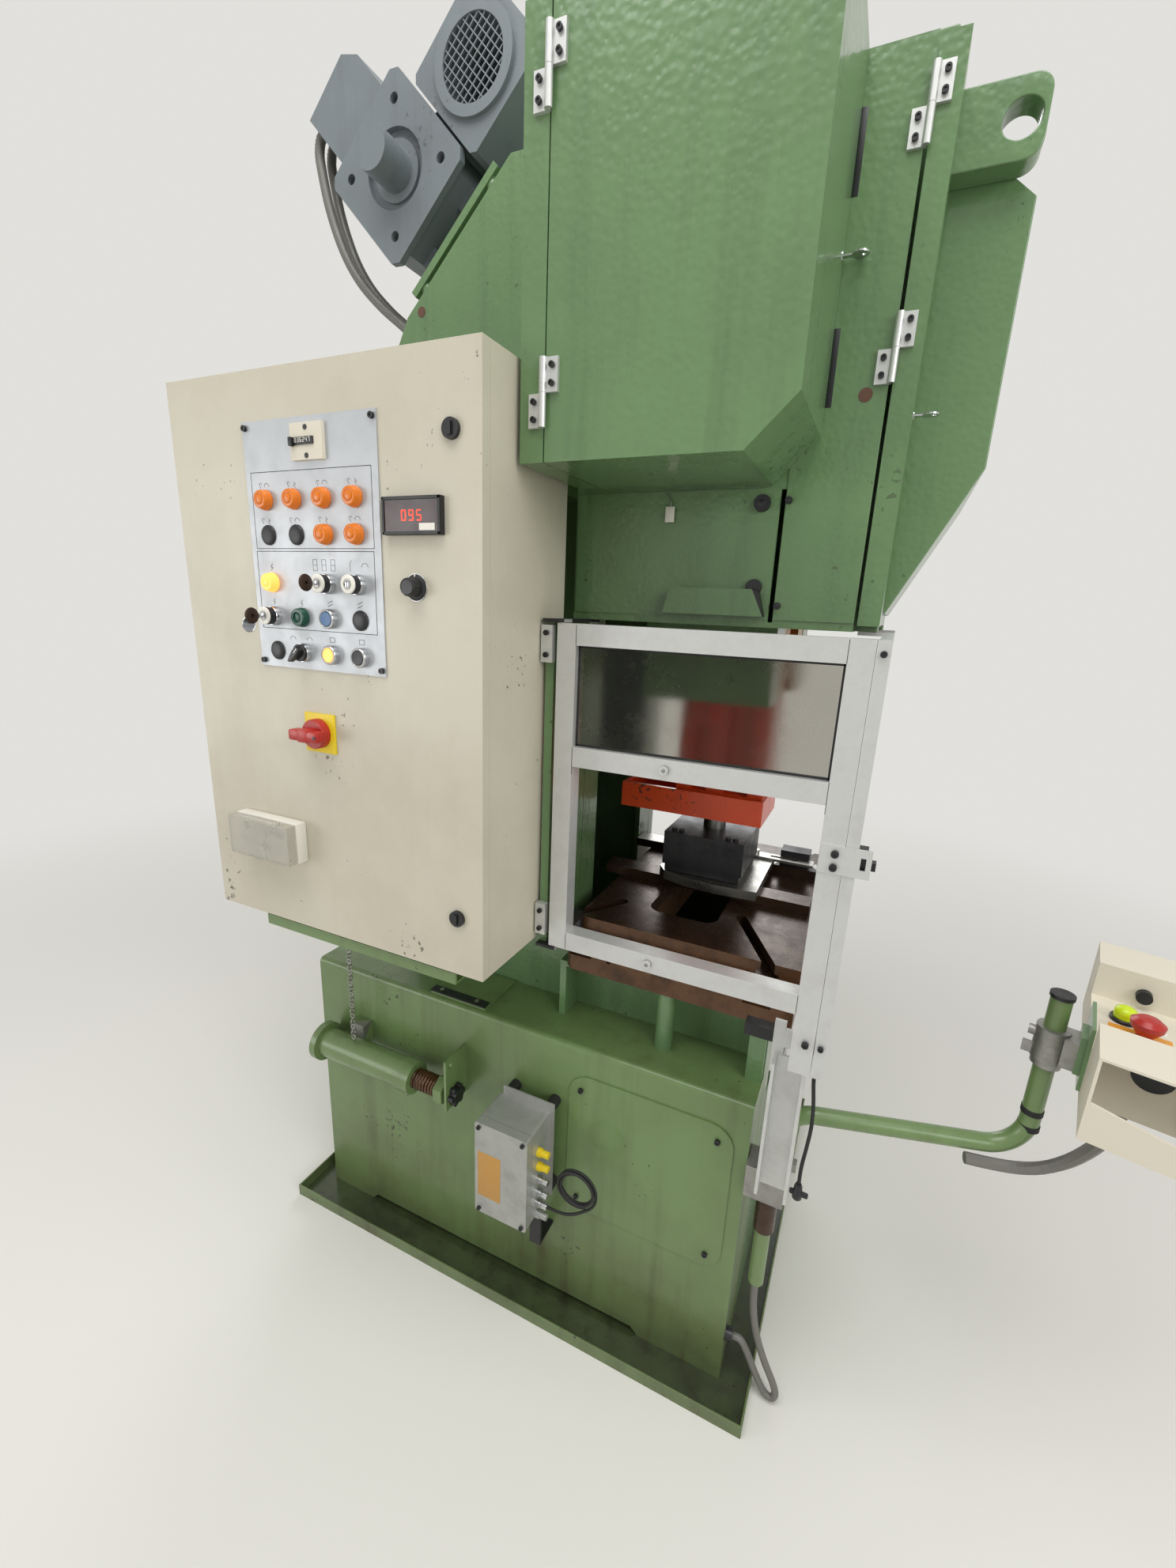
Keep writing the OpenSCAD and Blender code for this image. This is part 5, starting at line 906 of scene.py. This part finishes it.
KNOB_X, KNOB_Z, RIB_AWAY = -4, 1521, 11.9
form = bmesh.new()
spun(form, KNOB_X, KNOB_Z, [(18.6, 0.3), (19.0, 1.0), (18.6, 2.0)], 1, y=DOOR_Y)
spun(form, KNOB_X, KNOB_Z, [(18.4, 1.0), (18.2, 2.4), (15.5, 4.2), (12.6, 5.0), (12.2, 20), (11.4, 21.6),
                            (10.2, 22.0), (9.6, 21.4), (0, 21.4)], 0, y=DOOR_Y)
for a in circle(16):
    spun(form, KNOB_X + RIB_AWAY * math.cos(a), KNOB_Z + RIB_AWAY * math.sin(a),
         [(0.9, 5.5), (0.9, 19.5), (0.0, 20.2)], 0, y=DOOR_Y, sides=8)
block(form, (-5, -641.5, 1534.5), (-3, -640.2, 1538.5), material=2)
piece("speed_knob", form, "potentiometer_knob", [BLACK, CHROME, WHITE], "black_plastic",
      replaced=["potentiometer_knob"])
print("selector and knob")

# %% [markdown]
# The counter shows small white wheels behind a window, and the speed meter shows red figures on a dark red screen.
# Both kinds of figure are the same seven short bars; a table says which bars each figure needs.

# %% Counter and meter
BARS = {"top": ((0, 2), (1, 2)), "upper_left": ((0, 1), (0, 2)), "upper_right": ((1, 1), (1, 2)),
        "middle": ((0, 1), (1, 1)), "lower_left": ((0, 0), (0, 1)), "lower_right": ((1, 0), (1, 1)),
        "foot": ((0, 0), (1, 0))}
MISSING = {"0": ("middle",), "9": ("lower_left",), "5": ("upper_right", "lower_left"),
           "2": ("upper_left", "lower_right"), "7": ("middle", "foot", "upper_left", "lower_left"),
           "4": ("top", "foot", "lower_left"), "6": ("upper_right",), "3": ("upper_left", "lower_left")}


def figures(name, signs, x, z, pitch, width, height, line, y, material, slot):
    form = bmesh.new()
    for i, sign in enumerate(signs):
        for bar, ends in BARS.items():
            if bar not in MISSING[sign]:
                a, b = ((x + pitch * i + p[0] * width, z + p[1] * height / 2) for p in ends)
                stroke(form, a, b, line, y=y, rise=0.2)
    piece(name, form, "cabinet_door", [material], slot, smooth=False)


figures("meter_figures", "095", -19, 1608.4, 13, 6.6, 12.6, 1.4, -646.4, DIGIT, "red_plastic")
form = bmesh.new()
block(form, (-49, -646.4, 1593.5), (41.5, -646, 1635))
for x0, x1, z0, z1 in ((-53, -49, 1590, 1639), (41.5, 46, 1590, 1639), (-53, 46, 1590, 1594),
                       (-53, 46, 1634.5, 1639)):
    block(form, (x0, -647.8, z0), (x1, -646, z1), 0.6, 1)
block(form, (10.5, -646.7, 1595.5), (36.5, -646.4, 1604.5), material=2)
piece("meter_screen", form, "cabinet_door", [SCREEN, BLACK, WHITE], "black_plastic", smooth=False)
figures("counter_figures", "036247", -210, 1716.2, 5.4, 2.6, 5.4, 0.8, -647, WHITE, "cream_plastic")
form = bmesh.new()
block(form, (-218.5, -652, 1711), (-212, -645, 1723), 1)
for z in (1735.5, 1698.5):
    spun(form, -190, z, [(3.6, 0), (3.6, 0.8), (0, 1.1)], y=-645, sides=20)
piece("counter_knob_and_screws", form, "cabinet_door", [BLACK], "black_plastic")
print("counter and meter")

# %% [markdown]
# Socket screws hold every hinge and cover. Each row gives a head's radius and height and the centres of the heads,
# on the faces that the CAD puts its own plain heads on, so each new head swallows one of them. The first row's
# low heads lie inside the second row's.

# %% Screws of hinges, covers and guards
SMALL, MIDDLE, LARGE = (3.9, 4.1), (4.4, 4.5), (5.4, 5.3)


def hinge_rows(x, y, middles, rises):
    return [(x, y, z + rise) for z in middles for rise in rises]


FIXED_LEAF, MOVING_LEAF = (-31, -10), (10.2, 31.2)
LID_Z, DOOR_Z = (1772, 2112), (1850, 2108)
for name, body, size, places in (
    ("lid_hinge_screws_fixed", "frame", (3.6, 1.2), hinge_rows(138, -564.2, LID_Z, FIXED_LEAF)),
    ("lid_hinge_screws_fixed", "frame", SMALL, hinge_rows(138, -564, LID_Z, FIXED_LEAF)),
    ("lid_hinge_screws_moving", "head_lid", SMALL, hinge_rows(164, -564, LID_Z, MOVING_LEAF)),
    ("door_hinge_screws_fixed", "frame", SMALL, hinge_rows(546.5, -350, DOOR_Z, FIXED_LEAF)),
    ("door_hinge_screws_moving", "side_door", SMALL, hinge_rows(572.5, -350, DOOR_Z, MOVING_LEAF)),
    ("base_panel_screws", "frame", LARGE, [(x, -400, z) for x in (180, 458) for z in (305, 571)]),
    ("guard_post_screws", "frame", MIDDLE, [(119, -478.5, z) for z in (952, 986, 1430, 1464)]
     + [(605.5, -476.5, z) for z in (876, 1462)]),
    ("junction_box_screws", "frame", MIDDLE, [(x, -517, z) for x in (15, 115) for z in (307, 507)]),
    ("guard_hasp_screws", "guard_door", LARGE, [(584, -480, 1168), (584, -480, 1188), (583, -477, 876)]),
):
    screws(name, body, size, places)
print("screws on frame, lid, doors and guard")

# %% [markdown]
# Small fittings finish the head: thin black strips of painted shade that stand for the slots cut for the spare hinge
# leaves, brown primer over two filled holes and black domed plugs in the cover. The guard gets the dark gasket round
# its pane, the joints of its profiles and two steel buttons. Under the table, a thin black sheet of painted shade
# closes the view through the drop hole.

# %% Small fittings on the head and the guard
form = bmesh.new()
# Painted shade: thin black strips that stand for the dark inside of the slots for the spare hinge leaves
for z0, z1 in ((2031, 2125), (1787, 1883)):
    block(form, (479, -345.6, z0), (487, -344.9, z1), 0.2)
for place in ((530, -345, 1799), (-290, -255, 2034)):
    turned(form, place, "-y", [(9, 0), (9, 0.6), (0, 0.8)], 1, 24)
piece("slot_shade_and_primer", form, "frame", [BLACK, RUST], "black_plastic")
form = bmesh.new()
for x, z, r in ((407, 1665, 12.4), (407, 1545, 12.4), (445, 1668, 5.4), (445, 1519, 5.4)):
    turned(form, (x, -346.5, z), "-y",
           [(r, 0), (r, 1.4), (r * 0.94, 3.2), (r * 0.72, 5.2), (r * 0.4, 6.6), (0, 7.1)], 0, 28)
piece("cover_plugs", form, "frame", [BLACK], "black_plastic")
form = bmesh.new()
for x0, x1, z0, z1 in ((170.1, 562.9, 1287, 1290.5), (170.1, 562.9, 1443.5, 1447), (170.1, 173.6, 1287, 1447),
                       (559.4, 562.9, 1287, 1447)):
    block(form, (x0, -466.4, z0), (x1, -465.1, z1), 0.3)
for x in (170, 563):
    for z0, z1 in ((1241, 1286.5), (1447.5, 1478.5), (923.5, 954.5)):
        block(form, (x - 0.4, -477.3, z0), (x + 0.4, -476.9, z1))
piece("guard_gasket_and_joints", form, "guard_door", [RUBBER], "black_rubber", smooth=False)
form = bmesh.new()
for x, z in ((327.5, 1270.5), (322.9, 938.5)):
    turned(form, (x, -476.9, z), "-y", [(7.4, 0), (7.4, 2), (6.6, 4), (4.4, 5.9), (0, 6.8)], 0, 24)
piece("guard_buttons", form, "guard_door", [ZINC], "machined_steel")
# Painted shade: a thin black sheet below the table, where the drop hole shows only shade
form = bmesh.new()
block(form, (50, 214.2, 668), (450, 214.8, 784))
piece("painted_shade_under_table", form, "frame", [PAINTED_SHADE_BLACK], "black_plastic", smooth=False)
print("slots, plugs, gasket, buttons, oil film")

# %% [markdown]
# The tensioner on the base keeps its packed tube and chain. Its spring is a helix, and a helix follows a rule, so
# Geometry Nodes make it: a Spiral curve gets a round section with Curve to Mesh. The tree's inputs are the sizes.

# %% Tensioner's spring
SPRING_START = (-0.200, -0.445, 0.485)
ROD_RADIUS = 0.0205


def on_rod(c):
    away = math.hypot(c[1] - SPRING_START[1], c[2] - SPRING_START[2])
    return -0.1995 < c[0] < -0.1365 and away < ROD_RADIUS


def spring_tree():
    tree, given = new_group("helical_spring", ("Coil radius", "Wire radius", "Length", "Turns"))
    coil = given["Coil radius"]
    helix = add(tree, "GeometryNodeCurveSpiral", Resolution=24, Rotations=given["Turns"], Start_Radius=coil,
                End_Radius=coil, Height=given["Length"])
    section = add(tree, "GeometryNodeCurvePrimitiveCircle", Resolution=10, Radius=given["Wire radius"])
    wire = add(tree, "GeometryNodeCurveToMesh", Curve=helix, Profile_Curve=section, Fill_Caps=True)
    lying = add(tree, "GeometryNodeTransform", Geometry=wire, Rotation=(0.0, math.pi / 2, 0.0))
    return close_group(tree, given, lying)


start_mesh = bpy.data.meshes.new("spring_start")
start_mesh.from_pydata([SPRING_START], [], [])
SPRING = {"Coil radius": 0.0195, "Wire radius": 0.0028, "Length": 0.061, "Turns": 8.0, "Finish": TABLE_EDGE}
grown("tension_spring", spring_tree(), start_mesh, SPRING, "frame")
paint("tension_tube", 0.8, GREEN_LOW,
      (OILED, on_rod),
      (BLACK, within(x=(-0.0999, ANY))),
      (ZINC, within((-0.42, -0.34), (-0.475, -0.415), (0.5201, ANY))))
print("tensioner")

# %% [markdown]
# The junction box is cast aluminium with a blank label. Its moulded and chromed connectors leave on one side, and
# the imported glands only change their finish. The station at the end of the arm has a warning-coloured plate under
# its stop button, a black ring round its lamp and small blank labels, all made in the station's own directions
# and then turned with it. A wire with a blank tag hangs on the head, and two bands of tape sit on the arm's post.

# %% Junction box, station and tag
def glands(low, high):
    return within((0.1251, 0.16), (-0.482, -0.462), (low, high))


def to_station(form):
    for v in form.verts:
        v.co = STATION_ORIGIN + STATION_TURN @ v.co


paint("junction_box", 1.0, CAST,
      (YELLOW, glands(0.400, 0.480)),
      (CHROME, glands(0.315, 0.400)),
      (RUBBER, within(y=(-0.4238, ANY), z=(0.297, 0.54))),
      (DARK, within(z=(-ANY, 0.2965))))
form = bmesh.new()
block(form, (12, -517.5, 341), (65, -516.9, 449), 0.2)
piece("junction_label", form, "frame", [LABEL], "orange_paint")

form = bmesh.new()
block(form, (22, -34, 899.6), (100, 24, 901), 0.4)
turned(form, (*STATION_LAMP, 900), "z", [(15.6, 0), (19, 0.4), (19, 5), (17.6, 6.6), (15.6, 6.6), (15.3, 6)], 1)
for v in (50, -52):
    block(form, (77, v - 14, 899.8), (95, v + 14, 900.7), 0.2, 2)
to_station(form)
piece("station_plate_and_ring", form, "arm", [GOLD_PLATE, BLACK, WHITE], "yellow_lens")
form = bmesh.new()
turned(form, (*STATION_LAMP, 913.8), "z", [(15.2, 0), (15.2, 2), (13.6, 6.5), (10, 9.6), (5, 11.2), (0, 11.6)])
to_station(form)
piece("station_lens", form, "arm", [LIME], "yellow_lens")

wire = smooth([(0.256, -0.3505, 1.683), (0.262, -0.352, 1.678), (0.266, -0.3525, 1.670), (0.266, -0.3525, 1.662)], 5)
piece("tag_wire", plain(wire, 0.0008, 8), "frame", [STEEL], "machined_steel")
form = bmesh.new()
block(form, (258, -353.4, 1640), (273, -351.8, 1663), 0.4)
piece("blank_tag", form, "frame", [WHITE], "cream_plastic")
form = bmesh.new()
for z in (711, 741):
    turned(form, (POST.x * MM, POST.y * MM, z), "z", [(15.3, 0), (16.1, 0.6), (16.1, 10), (15.3, 10.6)])
piece("arm_tape", form, "arm", [RUBBER], "black_rubber")
print("junction box, station, tag")

# %% [markdown]
# The main switch is a red moulded handle with a hole for a padlock. Its grip is a waisted bar that stands on a
# round base.

# %% Main switch
form = bmesh.new()
x, z = -206, 1290
spun(form, x, z, [(24, 2.4), (24, 15), (22.6, 17.6), (0, 17.6)])
for x0 in (x - 31, x + 1):
    block(form, (x0, -677, z - 8.8), (x0 + 30, -656, z + 8.8), 3.5)
block(form, (x - 12, -677.5, z - 10.5), (x + 12, -655.5, z + 10.5), 3)
spun(form, x + 26, z, [(3, 36), (3, 38.4), (0, 38.4)], 1)
piece("main_switch_handle", form, "main_switch_knob", [RED, BLACK], "red_plastic", replaced=["main_switch_knob"])
print("main switch")

# %% [markdown]
# The studio is plain: a flat pale floor that fades into a pale world, so no horizon shows, and four large soft
# lamps. The brightness of the floor's far part and of the world is only for rays that the camera sees, also in
# metal or through glass, so it adds little light to the press.

# %% Studio
PALE, PALE_LEVEL, ROOM_LEVEL = "#F1F0EC", 0.86, 0.34
FADE_FROM, FADE_TO, FLOOR_HALF = 0.9, 4.5, 9


def seen_directly(tree):
    """1 for a ray that shows in the picture, and 0 for one that lights the press."""
    path = add(tree, "ShaderNodeLightPath").outputs
    direct = add(tree, "ShaderNodeMath", LARGER, i0=path["Is Camera Ray"], i1=path["Is Glossy Ray"])
    return add(tree, "ShaderNodeMath", LARGER, i0=direct, i1=path["Is Transmission Ray"])


def floor_material():
    material, tree, shader, place = finish("pale_floor_paint", "#E2E0DA", 0.7)
    direct = seen_directly(tree)
    away = add(tree, "ShaderNodeVectorMath", {"operation": "LENGTH"}, i0=place).outputs["Value"]
    fade = add(tree, "ShaderNodeMapRange", {"interpolation_type": "SMOOTHSTEP"}, Value=away, i1=FADE_FROM, i2=FADE_TO)
    share = add(tree, "ShaderNodeMath", MULTIPLY, i0=direct, i1=fade)
    glow = add(tree, "ShaderNodeEmission", Color=linear(PALE), Strength=PALE_LEVEL)
    both = add(tree, "ShaderNodeMixShader", i0=share, i1=shader, i2=glow)
    fill(tree, tree.nodes["Material Output"], Surface=both)
    return material


floor = bpy.data.meshes.new("studio_floor")
corners = [(x * FLOOR_HALF, y * FLOOR_HALF, 0) for x, y in ((-1, -1), (1, -1), (1, 1), (-1, 1))]
floor.from_pydata(corners, [], [(0, 1, 2, 3)])
floor.materials.append(floor_material())
new_object("studio_floor", floor)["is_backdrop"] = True


def lamp(name, place, aim, size, watts):
    light = bpy.data.lights.new(name, "AREA")
    light.shape = "RECTANGLE"
    light.size, light.size_y = size
    light.energy = watts
    obj = new_object(name, light)
    obj.location = place
    obj.rotation_euler = (Vector(aim) - Vector(place)).to_track_quat("-Z", "Y").to_euler()


lamp("ceiling_panel", (0.3, -1.6, 4.6), (0, 0, 1.0), (3.2, 2.4), 112)
lamp("side_window", (3.4, -2.2, 2.6), (0, -0.2, 1.2), (2.2, 2.0), 62)
lamp("low_fill", (-2.6, -3.0, 1.4), (0, -0.2, 1.0), (2.0, 1.6), 34)
lamp("rear_soft", (-1.2, 3.8, 3.0), (0, 0.2, 1.2), (3.0, 2.2), 60)
world = bpy.data.worlds.new("studio")
bpy.context.scene.world = world
world.use_nodes = True
sky = world.node_tree
level = add(sky, "ShaderNodeMapRange", Value=seen_directly(sky), i1=0.0, i2=1.0, i3=ROOM_LEVEL, i4=PALE_LEVEL)
fill(sky, sky.nodes["Background"], Color=linear(PALE), Strength=level)
bpy.context.scene.view_settings.view_transform = "Standard"
print("studio ready")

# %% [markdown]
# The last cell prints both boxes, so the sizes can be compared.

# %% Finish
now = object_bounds()
for label, box in (("cad box", cad_box), ("visual box", now)):
    print(label, [tuple(round(c, 4) for c in v) for v in box])
